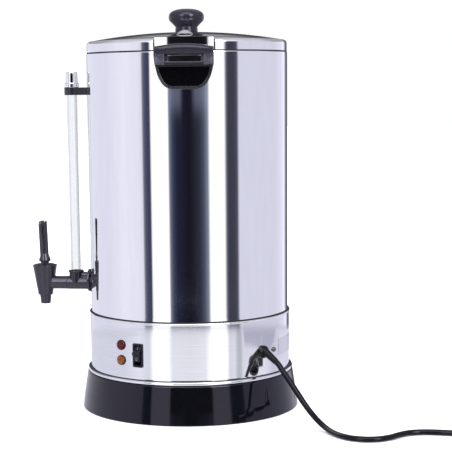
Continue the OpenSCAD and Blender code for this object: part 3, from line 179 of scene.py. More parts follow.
# %% Rounded outlines
def fillet(corners, steps, closed=True):
    """Rounds the corners of a polyline. Each corner is (x, y, radius). The arc's tangent
    length is t = radius tan(turn / 2), kept under half of each side. A point just before
    and just after each arc keeps the long sides flat when the normals are blended."""
    pts = [np.array(c[:2], float) for c in corners]
    radii = [c[2] if len(c) > 2 else 0.0 for c in corners]
    out = []
    n = len(pts)
    for i in range(n):
        p, r = pts[i], radii[i]
        if r <= 0 or (not closed and i in (0, n - 1)):
            out.append(p)
            continue
        a, b = pts[i - 1] - p, pts[(i + 1) % n] - p
        la, lb = np.linalg.norm(a), np.linalg.norm(b)
        a, b = a / la, b / lb
        turn = math.pi - math.acos(max(-1.0, min(1.0, float(a @ b))))
        if turn < 0.02:
            out.append(p)
            continue
        t = min(r * math.tan(turn / 2), 0.49 * la, 0.49 * lb)
        r = t / math.tan(turn / 2)
        start, end = p + a * t, p + b * t
        middle = (a + b) / np.linalg.norm(a + b)
        centre = p + middle * math.hypot(r, t)
        u = (start - centre) / r
        w = end - centre
        w = w - u * (w @ u)
        w = w / max(np.linalg.norm(w), 1e-12)
        out.append(p + a * (t + min(0.3, 0.008 * la)))
        for k in range(steps + 1):
            s = turn * k / steps
            out.append(centre + r * (u * math.cos(s) + w * math.sin(s)))
        out.append(p + b * (t + min(0.3, 0.008 * lb)))
    return [tuple(p) for p in out]


# %% Grids
def grid_faces(rows, columns, wrap_rows, wrap_columns):
    """Quads over a grid of rows by columns, each as four (row, column) corners."""
    i, j = np.meshgrid(
        np.arange(rows if wrap_rows else rows - 1),
        np.arange(columns if wrap_columns else columns - 1),
        indexing="ij",
    )
    i, j = i.ravel(), j.ravel()
    return [(i, j), (i + 1, j), (i + 1, j + 1), (i, j + 1)]


def grid_mesh(points, wrap_rows, wrap_columns):
    """Vertices, faces and UVs in metres of a grid of points (rows, columns, 3). u adds up
    the longest steps from column to column, and v the mean steps from row to row."""
    rows, columns = points.shape[:2]
    flat = points.reshape(-1, 3)
    corners = grid_faces(rows, columns, wrap_rows, wrap_columns)
    index = np.stack([(i % rows) * columns + (j % columns) for i, j in corners], axis=1)
    down = np.r_[0, np.cumsum(np.linalg.norm(np.roll(points, -1, 0) - points, axis=2).mean(1))]
    across = np.r_[0, np.cumsum(np.linalg.norm(np.roll(points, -1, 1) - points, axis=2).max(0))]
    uv = np.stack([np.stack([across[j], down[i]], axis=1) for i, j in corners], axis=1) * MM
    return flat, index, uv.reshape(-1, 2)


# %% Solids from grids
def skin(name, points, body, material, sharp=32.0):
    """A closed surface over a grid of points (rows, columns, 3), joined up both ways."""
    verts, faces, uv = grid_mesh(np.asarray(points, float), True, True)
    return add_mesh(name, verts, faces.tolist(), body, material, uv, sharp)


def revolve(name, profile, body, material, segments, around=(0.0, 0.0), sharp=32.0):
    """A closed profile of (r, z) turned round a vertical axis:
    P(t, i) = (cx + r_i cos t, cy + r_i sin t, z_i)."""
    r, z = np.array(profile, float).T[:, :, None]
    t = np.linspace(0, 2 * math.pi, segments, endpoint=False)
    points = np.stack([around[0] + r * np.cos(t), around[1] + r * np.sin(t), z + 0 * t], axis=-1)
    return skin(name, points, body, material, sharp)


def loft(name, rings, body, material, sharp=32.0):
    """A closed skin over rings of points (rings, sides, 3), with flat ends."""
    rings = np.asarray(rings, float)
    count, sides = rings.shape[:2]
    verts, faces, uv = grid_mesh(rings, False, True)
    first, last = list(range(sides)), list(range((count - 1) * sides, count * sides))
    uv = np.vstack([uv, np.zeros((2 * sides, 2))])
    return add_mesh(name, verts, faces.tolist() + [first, last], body, material, uv, sharp)


# %% Paths and tubes
def smooth_path(points, step):
    """A centripetal Catmull-Rom curve through points, resampled at even steps. Each span is
    a pyramid of straight blends between its four knots k, as Barry and Goldman wrote it."""
    def between(a, b, low, high):
        """A blend of a at knot low and b at knot high, for the place t."""
        return ((high - t) * a + (t - low) * b) / (high - low)

    p = np.asarray(points, float)
    p = np.vstack([2 * p[0] - p[1], p, 2 * p[-1] - p[-2]])
    out = []
    for i in range(1, len(p) - 2):
        k = [0.0]
        for a, b in zip(p[i - 1 : i + 2], p[i : i + 3]):
            k.append(k[-1] + math.sqrt(np.linalg.norm(b - a)))
        for t in np.linspace(k[1], k[2], 24, endpoint=False):
            low, middle, high = [between(p[i - 1 + j], p[i + j], k[j], k[j + 1]) for j in range(3)]
            low, high = between(low, middle, k[0], k[2]), between(middle, high, k[1], k[3])
            out.append(between(low, high, k[1], k[2]))
    out = np.array(out + [p[-2]])
    run = np.r_[0, np.cumsum(np.linalg.norm(np.diff(out, axis=0), axis=1))]
    even = np.linspace(0, run[-1], int(run[-1] / step) + 1)
    return np.stack([np.interp(even, run, out[:, axis]) for axis in range(3)], axis=1)


def tube(name, path, radius, body, material, sides):
    """A round tube along a path: each ring is c + r (cos w n + sin w b), with the side
    vector n carried along without twist."""
    head = np.gradient(path, axis=0)
    head /= np.linalg.norm(head, axis=1, keepdims=True)
    side = np.array([0.0, 0.0, 1.0])
    w = np.linspace(0, 2 * math.pi, sides, endpoint=False)
    rings = []
    for c, h in zip(path, head):
        side = side - h * (side @ h)
        side /= np.linalg.norm(side)
        other = np.cross(h, side)
        rings.append(c + radius * (np.outer(np.cos(w), side) + np.outer(np.sin(w), other)))
    return loft(name, rings, body, material, sharp=50.0)


# %% Finishing chosen faces
def face_centres(piece, azimuth=0.0):
    """The middles of a piece's faces in millimetres, turned back from an azimuth, as x, y, z."""
    return turned(np.array([p.center for p in piece.data.polygons]) / MM, -azimuth).T


def refinish(piece, finish, chosen):
    """Gives the chosen faces of a piece another finish."""
    index = np.array([p.material_index for p in piece.data.polygons], np.int32)
    index[chosen] = len(piece.data.materials)
    piece.data.materials.append(materials[finish])
    piece.data.polygons.foreach_set("material_index", index)


def within(values, low, high):
    """Marks the values between two limits."""
    return (values > low) & (values < high)


# %% [markdown]
# ## Colours and materials
# One function turns a hex colour into linear light, and one adds a shader node. A third
# builds each material: a base, a fine swing of tone and roughness, and a bump. The
# real surface gives the grain's size, so no finish is perfectly even.

# %% Colour
def hex_linear(code, share):
    """Linear RGBA of an sRGB hex code, times a share: c / 12.92 up to 0.04045, and
    ((c + 0.055) / 1.055)^2.4 over it."""
    parts = [int(code[i : i + 2], 16) / 255 for i in (1, 3, 5)]
    linear = [c / 12.92 if c <= 0.04045 else ((c + 0.055) / 1.055) ** 2.4 for c in parts]
    return tuple(min(1.0, share * c) for c in linear) + (1.0,)


# %% Shader nodes
def feed(node, inputs):
    """Gives each socket its value, or links another node's output into it. A node that
    stands for a value means its first output."""
    for socket, value in inputs.items():
        if isinstance(value, bpy.types.Node):
            value = value.outputs[0]
        if isinstance(value, bpy.types.NodeSocket):
            node.id_data.links.new(value, node.inputs[socket])
        else:
            node.inputs[socket].default_value = value


def add_node(tree, kind, inputs, stops=None, **settings):
    """Adds a node with its settings and its inputs. stops are the places and colours of a
    colour ramp."""
    node = tree.nodes.new("ShaderNode" + kind)
    for name, value in settings.items():
        setattr(node, name, value)
    feed(node, inputs)
    if stops:
        items = node.color_ramp.elements
        items.remove(items[1])
        for n, (at, colour) in enumerate(stops):
            item = items.new(at) if n else items[0]
            item.position, item.color = at, colour
    return node


# %% Material builder
def material(name, colour, ior, rough, swing, tone, grain_mm, bump_um=0.0, bump_mm=None,
             stretch=(1, 1, 1), along="Object", sockets=None):
    """A Principled material. Noise of grain_mm moves the roughness by swing and the colour by
    tone, and noise of bump_mm gives a bump bump_um deep. The grain's size is divided by
    stretch along each axis. A metal is given no IOR."""
    finish = bpy.data.materials.new(name)
    finish.use_nodes = True
    tree = finish.node_tree
    place = add_node(tree, "TexCoord", {})
    scale = add_node(tree, "Mapping", {"Vector": place.outputs[along], "Scale": stretch})
    grain = add_node(tree, "TexNoise",
                     {"Vector": scale, "Scale": 1.0 / (grain_mm * MM), "Detail": 4.0})
    tones = add_node(tree, "ValToRGB", {"Fac": grain.outputs["Fac"]},
                     [(0.3, hex_linear(colour, 1 - tone)), (0.7, hex_linear(colour, 1 + 2 * tone))])
    roughness = add_node(tree, "MapRange", {
        "Value": grain.outputs["Fac"], "To Min": max(0.004, rough - swing), "To Max": rough + swing})
    inputs = {"Base Color": tones, "Roughness": roughness, "Metallic": 0.0 if ior else 1.0}
    if ior:
        inputs["IOR"] = ior
    if bump_um:
        relief = add_node(tree, "TexNoise", {
            "Vector": scale, "Scale": 1.0 / ((bump_mm or grain_mm) * MM), "Detail": 3.0})
        inputs["Normal"] = add_node(tree, "Bump", {
            "Height": relief.outputs["Fac"], "Distance": bump_um * 1e-6})
    feed(tree.nodes["Principled BSDF"], {**inputs, **(sockets or {})})
    materials[name] = finish


# %% The palette: colour, IOR, roughness and its swing, the tone's swing, grain, bump depth and grain
METAL = None
# the black plastics' reflections get a painted violet tint that stands in for the room's lavender light
VIOLET_REFLECTION_TINT = {"Specular Tint": (0.88, 0.84, 1.0, 1.0)}
# Stainless sheet, polished after it was rolled: a mirror with long, soft waves
material("polished_steel", "#efeff2", METAL, 0.045, 0.012, 0.012, 9.0, 1.2, 60.0,
         stretch=(1, 1, 0.15))
# The same sheet brushed round the band: rows of fine scratches spread what it mirrors
material("brushed_steel", "#e7e8eb", METAL, 0.045, 0.02, 0.035, 0.9, 0.12, 0.7,
         stretch=(0.02, 1, 1), along="UV", sockets={"Anisotropic": 0.3})
# Painted shade for the seams, and painted dark reflection on the ears' edges: a dull, nearly black line
material("painted_line_shade", "#1d1d22", 1.3, 0.5, 0.03, 0.1, 3.0, 2.0)
# Stainless left as it was pressed, zinc plating on screws, and drawn wire: from dull to silky
material("pressed_steel", "#e5e5e7", METAL, 0.2, 0.05, 0.03, 4.0, 1.5)
material("zinc", "#d4d6d7", METAL, 0.3, 0.08, 0.08, 5.0, 2.0)
material("drawn_wire", "#ceced0", METAL, 0.22, 0.03, 0.04, 1.0, stretch=(1, 1, 0.1))
# Chromium plate is the smoothest metal here, and sand-cast aluminium the most pitted
material("chromium", "#f1f2f3", METAL, 0.04, 0.01, 0.01, 6.0)
material("cast_aluminium", "#cbcccd", METAL, 0.48, 0.03, 0.08, 1.2, 25.0, 0.9)
# A heated steel sheath turns brown and blotchy, and turned brass keeps a warm shine
material("oxidised_sheath", "#73716f", METAL, 0.5, 0.03, 0.2, 1.5, 6.0)
material("brass", "#e2c88e", METAL, 0.24, 0.03, 0.05, 2.0, 1.5)
# Satin aluminium foil: rows finer than a pixel, which only glow
material("satin_foil", "#dddee3", METAL, 0.34, 0.03, 0.02, 0.4, 1.0,
         stretch=(0.05, 1, 1), along="UV")
# Moulded polypropylene, glossy: the base ring mirrors the room like black glass, with a painted violet tint
# on what it mirrors
material("gloss_black", "#07070b", 1.46, 0.045, 0.015, 0.1, 6.0, 1.0, 14.0,
         sockets={"Specular Tint": (0.80, 0.76, 1.0, 1.0)})
# Moulded phenolic: the handle's satin face, its inner sides with a painted pale reflection, its smoother
# hollow with painted shade, the knob
material("handle_black", "#1b1a20", 1.42, 0.15, 0.03, 0.1, 3.0, 3.0, 5.0, sockets=VIOLET_REFLECTION_TINT)
material("painted_arm_reflection", "#4d4a59", 1.45, 0.3, 0.04, 0.15, 4.0, 3.0, 5.0)
material("painted_hollow_shade", "#050507", 1.4, 0.1, 0.02, 0.1, 3.0, 1.0, 5.0)
material("knob_black", "#1b1a22", 1.4, 0.2, 0.03, 0.1, 3.0, 2.0, 4.0, sockets=VIOLET_REFLECTION_TINT)
# Moulded nylon of the tap, ABS of the switch and PVC of the plug: each a little more grained
material("tap_black", "#1e1e24", 1.52, 0.12, 0.04, 0.12, 2.0, 4.0, 1.2, sockets=VIOLET_REFLECTION_TINT)
material("switch_black", "#101018", 1.34, 0.28, 0.05, 0.12, 0.8, 6.0, 0.5, sockets=VIOLET_REFLECTION_TINT)
material("plug_black", "#19191d", 1.5, 0.38, 0.05, 0.15, 1.0, 8.0, 0.6)
# Extruded PVC of the lead, with a long highlight, and the duller moulded rubber of the gland
material("cord_black", "#07070a", 1.3, 0.14, 0.03, 0.15, 3.0, 5.0, 1.5, sockets=VIOLET_REFLECTION_TINT)
material("rubber_black", "#07070a", 1.28, 0.25, 0.03, 0.15, 1.5, 10.0, 0.8)
# Pale inner parts: cast silicone lets light in, nylon is waxy, and the ceramic is glazed
material("silicone", "#c5c2ba", 1.41, 0.45, 0.03, 0.05, 3.0, 4.0,
         sockets={"Subsurface Weight": 0.2, "Subsurface Scale": 0.002})
material("natural_nylon", "#dad6cb", 1.53, 0.4, 0.03, 0.04, 2.0, 4.0)
material("glazed_ceramic", "#e2ded4", 1.5, 0.2, 0.03, 0.03, 2.0, 3.0)
material("wire_blue", "#2759ad", 1.5, 0.35, 0.03, 0.08, 1.0)
# Drawn borosilicate glass: nothing but its two walls and their edges shows
material("gauge_glass", "#fdfeff", 1.47, 0.01, 0.004, 0.002, 8.0,
         sockets={"Transmission Weight": 1.0})
# Tinted polycarbonate lenses, unlit: dull facets, and painted shade on the rim's faces
material("ruby_lens", "#3a0412", 1.34, 0.12, 0.03, 0.35, 2.5, 8.0, 1.0)
material("amber_lens", "#613416", 1.34, 0.12, 0.03, 0.35, 2.5, 8.0, 1.0)
material("ruby_rim_painted_shade", "#190207", 1.34, 0.2, 0.03, 0.2, 2.5, 4.0)
material("amber_rim_painted_shade", "#2f1607", 1.34, 0.2, 0.03, 0.2, 2.5, 4.0)
# Worn pad-printing ink on the rocker, greyer than white
material("white_print", "#6f7177", 1.5, 0.5, 0.03, 0.05, 0.5)
# The studio's painted floor
material("pale_floor", "#efeff0", 1.45, 0.75, 0.02, 0.004, 30.0)
print("materials", len(materials))

# %% [markdown]
# ## The mains lead
# It droops from the gland, lies on the surface and runs out of the picture to a
# coil of two layers. The route's points are those of the CAD, in millimetres.

# %% The lead's route
LEAD_R, LEAD_STEP, DROOP = 3.7, 2.5, math.radians(31.0)
FLANGE, BOSS, NOSE = 2.8, 2.6, 20.0
NOSE_REACH = PANEL_R + FLANGE + BOSS + NOSE * math.cos(DROOP)
NOSE_Z = GLAND_Z - NOSE * math.sin(DROOP)
FREE, FREE_DROOP = 6.0, math.radians(34.0)
route = [
    spot(GLAND_AZ, NOSE_REACH, NOSE_Z),
    spot(GLAND_AZ, NOSE_REACH + FREE * math.cos(FREE_DROOP), NOSE_Z - FREE * math.sin(FREE_DROOP)),
    (104, 137, 68), (114, 148, 55), (125, 160, 40), (136, 172, 25.5), (149, 185, 13.5),
    (163, 197.5, 6), (179, 207.5, 4), (194, 218, 4), (205, 232, 4), (209, 248, 4),
    (206, 264, 4), (196, 278, 4), (182, 289, 4), (170, 301, 4), (164, 316, 4), (163, 334, 4),
    (165, 352, 4), (168, 371, 4), (170, 391, 4), (170.2, 408, 4), (170.2, 422.6, 4),
]
COIL_X, COIL_Y, COIL_Z, COIL_R, COIL_PITCH, COIL_STEP = 119.0, 430.0, 4.0, 33.0, 9.1, 8.0
TURNS_IN, TURNS_OUT, TAIL = 2.0, 1.75, 7.4


def coil_point(a):
    """A point of the coil at angle a in degrees: inwards on the surface, half a turn up,
    then outwards on top. r = r0 + pitch |a - turn-round| / 360."""
    inward = 360 * TURNS_IN
    climb = inward + 180
    r = COIL_R + COIL_PITCH * (max(0, inward - a) + max(0, a - climb)) / 360
    rise = max(0.0, min(1.0, (a - inward) / 180))
    w = math.radians(a)
    return (COIL_X + r * math.cos(w), COIL_Y + r * math.sin(w), COIL_Z + COIL_STEP * rise)


sweep = 360 * (TURNS_IN + TURNS_OUT) + 180
coil = [coil_point(a) for a in np.arange(0, sweep + 1, 15)]
lead_end = tuple(np.array(coil[-1]) - (TAIL, 0, 0))
lead_path = smooth_path(route + coil + [lead_end], LEAD_STEP)
lead = tube("mains_lead", lead_path, LEAD_R, "urn", "cord_black", sides=24)
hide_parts("mains_cord", "cord_coil")

# %% [markdown]
# ## The base ring and the housing
# Both are closed profiles turned round the urn's axis. The corners are rounded, as
# moulding and rolling leave them.

# %% Base ring
TOP_R = PANEL_R + 4.5
FOOT_R = TOP_R + 7.6
LEDGE_R, LEDGE_T, SKIRT, RIB_Z = TOP_R - 14.0, 3.0, 4.0, 8.0
base_profile = fillet([
    (FOOT_R - 3.2, 0.0, 0.6), (FOOT_R, 0.0, 4.0), (FOOT_R - 2.1, 18.0, 60.0), (FOOT_R - 4.9, 36.0, 60.0),
    (TOP_R + 0.1, BASE_TOP, 1.6), (LEDGE_R, BASE_TOP, 0.3), (LEDGE_R, BASE_TOP - LEDGE_T, 0.3),
    (TOP_R - 3.0, BASE_TOP - LEDGE_T, 1.0), (FOOT_R - SKIRT, RIB_Z, 1.0), (FOOT_R - 13.0, RIB_Z, 0.3),
    (FOOT_R - 13.0, RIB_Z - 3.0, 0.3), (FOOT_R - SKIRT, RIB_Z - 3.0, 0.3), (FOOT_R - SKIRT, 0.0, 0.4),
], steps=6)
base = revolve("base_ring_moulding", base_profile, "urn", "gloss_black", segments=256)
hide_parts("base_ring")

# %% Housing with its two beads
bead_x, bead_z = TOP_R - BEAD, BASE_TOP + BEAD
foot = BASE_TOP + 2 * BEAD
SEAT_R, SHELF_IN = TOP_R - 18.5, TANK_R - 8.0
housing_profile = fillet(
    [(SEAT_R, BASE_TOP)] + arc(bead_x, bead_z, BEAD, -math.pi / 2, math.pi / 2, 15)
    + [(PANEL_R + 0.1, foot + 0.1, 0.4), (PANEL_R, foot + 1.2, 0.5), (PANEL_R, TANK_FOOT - 3.1, 0.4)]
    + arc(PANEL_R - 0.3, TANK_FOOT - TOP_BEAD, TOP_BEAD, -1.2, math.pi / 2, 10)
    + [(SHELF_IN, TANK_FOOT), (SHELF_IN, TANK_FOOT - SHEET), (PANEL_R - SHEET, TANK_FOOT - SHEET, 0.3),
       (PANEL_R - SHEET, foot - SHEET, 0.3), (bead_x + 0.5, foot - SHEET, 0.3), (bead_x + 1.4, bead_z, 0.3),
       (bead_x + 0.5, BASE_TOP + SHEET, 0.3), (SEAT_R, BASE_TOP + SHEET)],
    steps=4)
housing = revolve("housing_band", housing_profile, "urn", "brushed_steel", segments=256)
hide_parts("housing_panel")
heights = face_centres(housing)[2]
refinish(housing, "polished_steel", (heights < foot + 0.6) | (heights > TANK_FOOT - 3.0))


# %% Openings
def cut_prism(obj, outline, low, high, azimuth):
    """Cuts an upright prism out of a piece: its outline (x, y) faces -Y and is turned."""
    count = len(outline)
    corners = [(x, y, z) for z in (low, high) for x, y in outline]
    faces = [list(range(count))[::-1], list(range(count, 2 * count))]
    faces += [[k, (k + 1) % count, count + (k + 1) % count, count + k] for k in range(count)]
    mesh = bpy.data.meshes.new("cutter")
    mesh.from_pydata((turned(corners, azimuth) * MM).tolist(), [], faces)
    face_outwards(mesh)
    cutter = bpy.data.objects.new("cutter", mesh)
    scene.collection.objects.link(cutter)
    step = obj.modifiers.new("opening", "BOOLEAN")
    step.object, step.operation, step.solver = cutter, "DIFFERENCE", "EXACT"
    bake(obj)
    bpy.data.objects.remove(cutter)


def bake(obj):
    """Makes what the modifiers give an object's own mesh."""
    depsgraph = bpy.context.evaluated_depsgraph_get()
    done = bpy.data.meshes.new_from_object(obj.evaluated_get(depsgraph), depsgraph=depsgraph)
    obj.modifiers.clear()
    obj.data = done


def block(half_width, near, far):
    """The outline of a block that faces -Y, between two distances from the axis."""
    return [(-half_width, -far), (half_width, -far), (half_width, -near), (-half_width, -near)]


CAN_W, CAN_H, CAN_GAP = 12.8, 28.2, 0.2
cut_prism(housing, block(CAN_W / 2 + CAN_GAP, PANEL_R - 9, PANEL_R + 5),
          SWITCH_Z - CAN_H / 2 - CAN_GAP, SWITCH_Z + CAN_H / 2 + CAN_GAP, SWITCH_AZ)

# %% [markdown]
# ## The tank and the lid
# The tank is a turned sheet with a rolled mouth. The lid is a turned profile too,
# but above each handle its edge is pressed up into a flat-topped ear.

# %% Tank wall
ROLL = 1.8
roll_x, roll_z = TANK_R - ROLL, RIM - ROLL
upright = np.linspace(TANK_FOOT + 30, RIM - 8, 12)
tank_profile = (
    [(TANK_R + 0.3, TANK_FOOT), (TANK_R + 0.22, TANK_FOOT + 1.5), (TANK_R + 0.08, TANK_FOOT + 3.5)]
    + [(TANK_R, TANK_FOOT + 6)] + [(TANK_R, z) for z in upright]
    + arc(roll_x, roll_z, ROLL, 0, 1.5 * math.pi, 22)
    + arc(roll_x, roll_z, ROLL - SHEET, 1.5 * math.pi, 0, 22)
    + [(TANK_R - SHEET, z) for z in upright[::-1]]
    + [(TANK_R - SHEET, TANK_FOOT + 6), (TANK_R - 0.5, TANK_FOOT)])
tank = revolve("tank_sheet", tank_profile, "urn", "polished_steel", segments=320, sharp=60)
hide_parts("tank_wall")

# %% Lid profile and ears
CORNER, BAND_H, DOME_RISE = 5.0, 10.5, 11.5
DOME_EDGE = LID_R - CORNER
DOME_FOOT = RIM + BAND_H + CORNER
DOME_R = (DOME_EDGE**2 + DOME_RISE**2) / (2 * DOME_RISE)
DOME_MID = DOME_FOOT + DOME_RISE - DOME_R
EAR_TOP, EAR_HALF, SHELF_R = RIM + 17.5, 37.5, 105.0
dome_reach = np.linspace(DOME_EDGE - 0.5, 0.05, 26)
ear_edge = math.degrees(math.asin(EAR_HALF / LID_R))


def dome_z(r):
    """Height of the dome's outside: z = z0 + sqrt(R^2 - r^2)."""
    return DOME_MID + np.sqrt(DOME_R**2 - np.asarray(r, float) ** 2)


def lid_line(wall):
    """The lid's outside or inside from its edge to the apex, as 8 + 10 + 26 points."""
    band = [(LID_R - wall, RIM + up) for up in (wall, 0.85, 1.0, 3.0, 5.0, 7.0, BAND_H - 0.4, BAND_H)]
    turn = arc(DOME_EDGE, RIM + BAND_H, CORNER - wall, 0.08, math.radians(82), 10)
    dome = [(r, float(dome_z(r)) - wall) for r in dome_reach]
    return np.array(band + turn + dome)


def ear_line(wall):
    """The same points where the edge is pressed up into an ear: an upright face, a small
    radius and a flat shelf that runs into the dome."""
    r0, top = LID_R + 1.0 - wall, EAR_TOP - wall
    rise = [(r0 - 1.0, RIM + wall), (r0 - 1.0, RIM + 0.85), (r0 - 0.5, RIM + 3.2), (r0, RIM + 4.0),
            (r0, RIM + 4.3), (r0, RIM + 8), (r0, top - 1.0), (r0, top - 0.8)]
    turn = arc(r0 - 0.7, top - 0.7, 0.7, 0.1, math.pi / 2, 8) + [(r0 - 3.0, top), (r0 - 4.5, top)]
    dome = [(r, max(float(dome_z(r)) - wall, top if r > SHELF_R else 0.0)) for r in dome_reach]
    return np.array(rise + turn + dome)


# %% The lid as one surface
FLANGE_R, PRESSED, FADE_FROM, FADE_OVER = 130.1, 0.06, 60.0, 48.0


def lid_points():
    """Rows along the closed section, columns round the rim. The section changes from the lid's
    line to the ear's within two times PRESSED degrees. The ear's sides stay parallel, as
    sin a = half width / r, and towards the middle this fades out."""
    fine = [side * (ear_edge + d) for side in (-1, 1) for d in (-0.5, -PRESSED, PRESSED, 0.8)]
    half_turn = np.array(sorted(set([float(a) for a in np.arange(-90, 90, 1.25)] + fine)))
    azimuths = np.r_[half_turn, half_turn + 180]
    offsets = (azimuths + 90) % 180 - 90
    plain, eared = [
        np.vstack([[(FLANGE_R, RIM)], line(0.0), line(SHEET)[::-1], [(FLANGE_R, RIM + SHEET)]])[:, None, :]
        for line in (lid_line, ear_line)]
    share = np.clip((ear_edge + PRESSED - np.abs(offsets)) / (2 * PRESSED), 0, 1)[None, :, None]
    r, z = np.moveaxis(plain * (1 - share) + eared * share, -1, 0)
    off = np.broadcast_to(offsets, r.shape)
    reach = np.clip(r, FADE_FROM + FADE_OVER, None)
    edge = np.degrees(np.arcsin(EAR_HALF / reach))
    across = np.sin(np.radians(np.clip(off, -ear_edge, ear_edge))) * LID_R
    inner = np.degrees(np.arcsin(np.clip(across / reach, -1, 1)))
    outer = np.sign(off) * (edge + (np.abs(off) - ear_edge) * (90 - edge) / (90 - ear_edge))
    bent = np.where(np.abs(off) <= ear_edge, inner, outer)
    a = np.radians(azimuths + (bent - off) * np.clip((r - FADE_FROM) / FADE_OVER, 0, 1) + HANDLE_AZ - 90)
    return np.stack([r * np.cos(a), r * np.sin(a), z], axis=-1)


lid = skin("lid_pressing", lid_points(), "lid", "polished_steel", sharp=38)
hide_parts("lid_shell")

# %% [markdown]
# ## Seams and the ears' edges
# Between two real sheets is a narrow groove, which shows as a thin dark line of shade.
# The faces beside each seam get painted shade, which is steadier than a groove that is
# narrower than a pixel. The ears' top edge and upright sides get a painted dark reflection.

# %% Painted shade at the seams and painted dark reflection on the ears
def paint_line_shade(piece, bands, least_r=0.0, ear_sides=False):
    """Paints a dark line of shade on the faces between two heights, outside a radius, and a
    dark reflection on the ears' pressed sides too where they are asked for."""
    x, y, z = face_centres(piece)
    shaded_faces = np.zeros(len(z), bool)
    for low, high in bands:
        shaded_faces |= within(z, low, high)
    if ear_sides:
        turn = np.degrees(np.arctan2(y, x)) - (HANDLE_AZ - 90)
        shaded_faces |= within(np.abs((turn + 90) % 180 - 90) - ear_edge, -0.1, 0.6)
    refinish(piece, "painted_line_shade", shaded_faces & (np.hypot(x, y) > least_r))


# painted shade on the rim seam, the tank's foot and the housing's beads; painted dark reflection along the
# ears' top edge
paint_line_shade(tank, [(RIM - 0.9, RIM + 1.0), (TANK_FOOT - 1.0, TANK_FOOT + 1.6)])
paint_line_shade(lid, [(RIM - 1.0, RIM + 0.8), (EAR_TOP - 0.75, EAR_TOP - 0.05)], 118.0, ear_sides=True)
paint_line_shade(housing, [(TANK_FOOT - 0.35, TANK_FOOT + 0.2), (foot - 0.6, foot + 0.8)])

# %% Steam vent: a hood pressed out of the dome, which falls to a low slit towards the rim
VENT_MOUTH, VENT_BACK, VENT_HALF, VENT_H = 97.0, 71.0, 10.6, 5.2
VENT_WALL, CUT_FOOT, CUT_TOP = 2.4, 495, 520
cut_prism(lid, block(VENT_HALF - VENT_WALL, VENT_BACK + 7, VENT_MOUTH - 6), CUT_FOOT, CUT_TOP, HANDLE_AZ)


def vent_skin(thickness):
    """Rows from the back to the mouth. The hood stands h = H (1 - u^2)^0.8 s(v) over the dome,
    where s rises smoothly over the back half and falls again to a low slit at the mouth."""
    rows = []
    for v in np.linspace(0, 1, 22):
        reach = VENT_BACK + (VENT_MOUTH - VENT_BACK) * v
        rise = min(1.0, v / 0.5, 1.0 - (v - 0.55) * 1.35)
        rise = rise * rise * (3 - 2 * rise)
        row = []
        for u in np.linspace(-1, 1, 29):
            x = VENT_HALF * u * (0.75 + 0.25 * min(1.0, v / 0.5))
            h = VENT_H * max(0.0, 1 - u * u) ** 0.8 * rise - thickness
            row.append((x, -reach, float(dome_z(math.hypot(x, reach))) + h))
        rows.append(row)
    return np.array(rows)


top, under = vent_skin(-0.05), vent_skin(0.75)
shell = np.concatenate([top, under[:, ::-1]], axis=1)
vent = loft("steam_vent_hood", turned(shell, HANDLE_AZ), "lid", "polished_steel", sharp=50)

# %% Knob: a waisted stem under a crown, which is a superellipse
KNOB_R, CROWN_H, CROWN_POWER = 23.7, 11.5, 2.5
KNOB_TOP = span("lid_knob", 2)[1]
knob_seat = float(dome_z(14))
crown_line = [(KNOB_R * (1 - u**CROWN_POWER) ** (1 / CROWN_POWER), KNOB_TOP - CROWN_H * (1 - u))
              for u in np.cos(np.linspace(0.004, math.pi / 2, 26))[::-1]]
knob_profile = fillet([
    (0.05, float(dome_z(0)) + 0.2), (14.6, knob_seat + 0.15, 0.4), (15.3, knob_seat + 0.7, 0.5),
    (14.7, KNOB_TOP - 23.9, 1.6), (20.0, KNOB_TOP - 18.4, 12.0), (22.9, KNOB_TOP - 15.6, 4.0),
    (KNOB_R, KNOB_TOP - 12.6, 4.0),
], closed=False, steps=8) + crown_line
knob = revolve("lid_knob_moulding", knob_profile, "lid", "knob_black", segments=128)
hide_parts("lid_knob")

# %% [markdown]
# ## Soft mouldings
# The faces of a plastic moulding meet in small radii. `soft_copy` takes a CAD solid,
# carves it where it is told to, remeshes it finely and eases the edges.

# %% Soft copies of CAD solids
def soft_copy(name, node, body, material, voxel, rounds, carve=()):
    """A remeshed copy of a CAD node, less the prisms to carve: voxels of a set size, then
    even smoothing rounds, each of which moves a vertex half way to its neighbours' mean."""
    obj = bpy.data.objects.new(name, nodes[node].data.copy())
    scene.collection.objects.link(obj)
    for prism in carve:
        cut_prism(obj, *prism)
    step = obj.modifiers.new("skin", "REMESH")
    step.mode, step.voxel_size, step.adaptivity = "VOXEL", voxel * MM, 0.0
    ease = obj.modifiers.new("ease", "SMOOTH")
    ease.factor, ease.iterations = 0.5, rounds
    bake(obj)
    obj.data.materials.clear()
    obj.data.materials.append(materials[material])
    obj.data.polygons.foreach_set("use_smooth", [True] * len(obj.data.polygons))
    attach(obj, body)
    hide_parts(node)
    print(name, len(obj.data.polygons), "faces")
    return obj


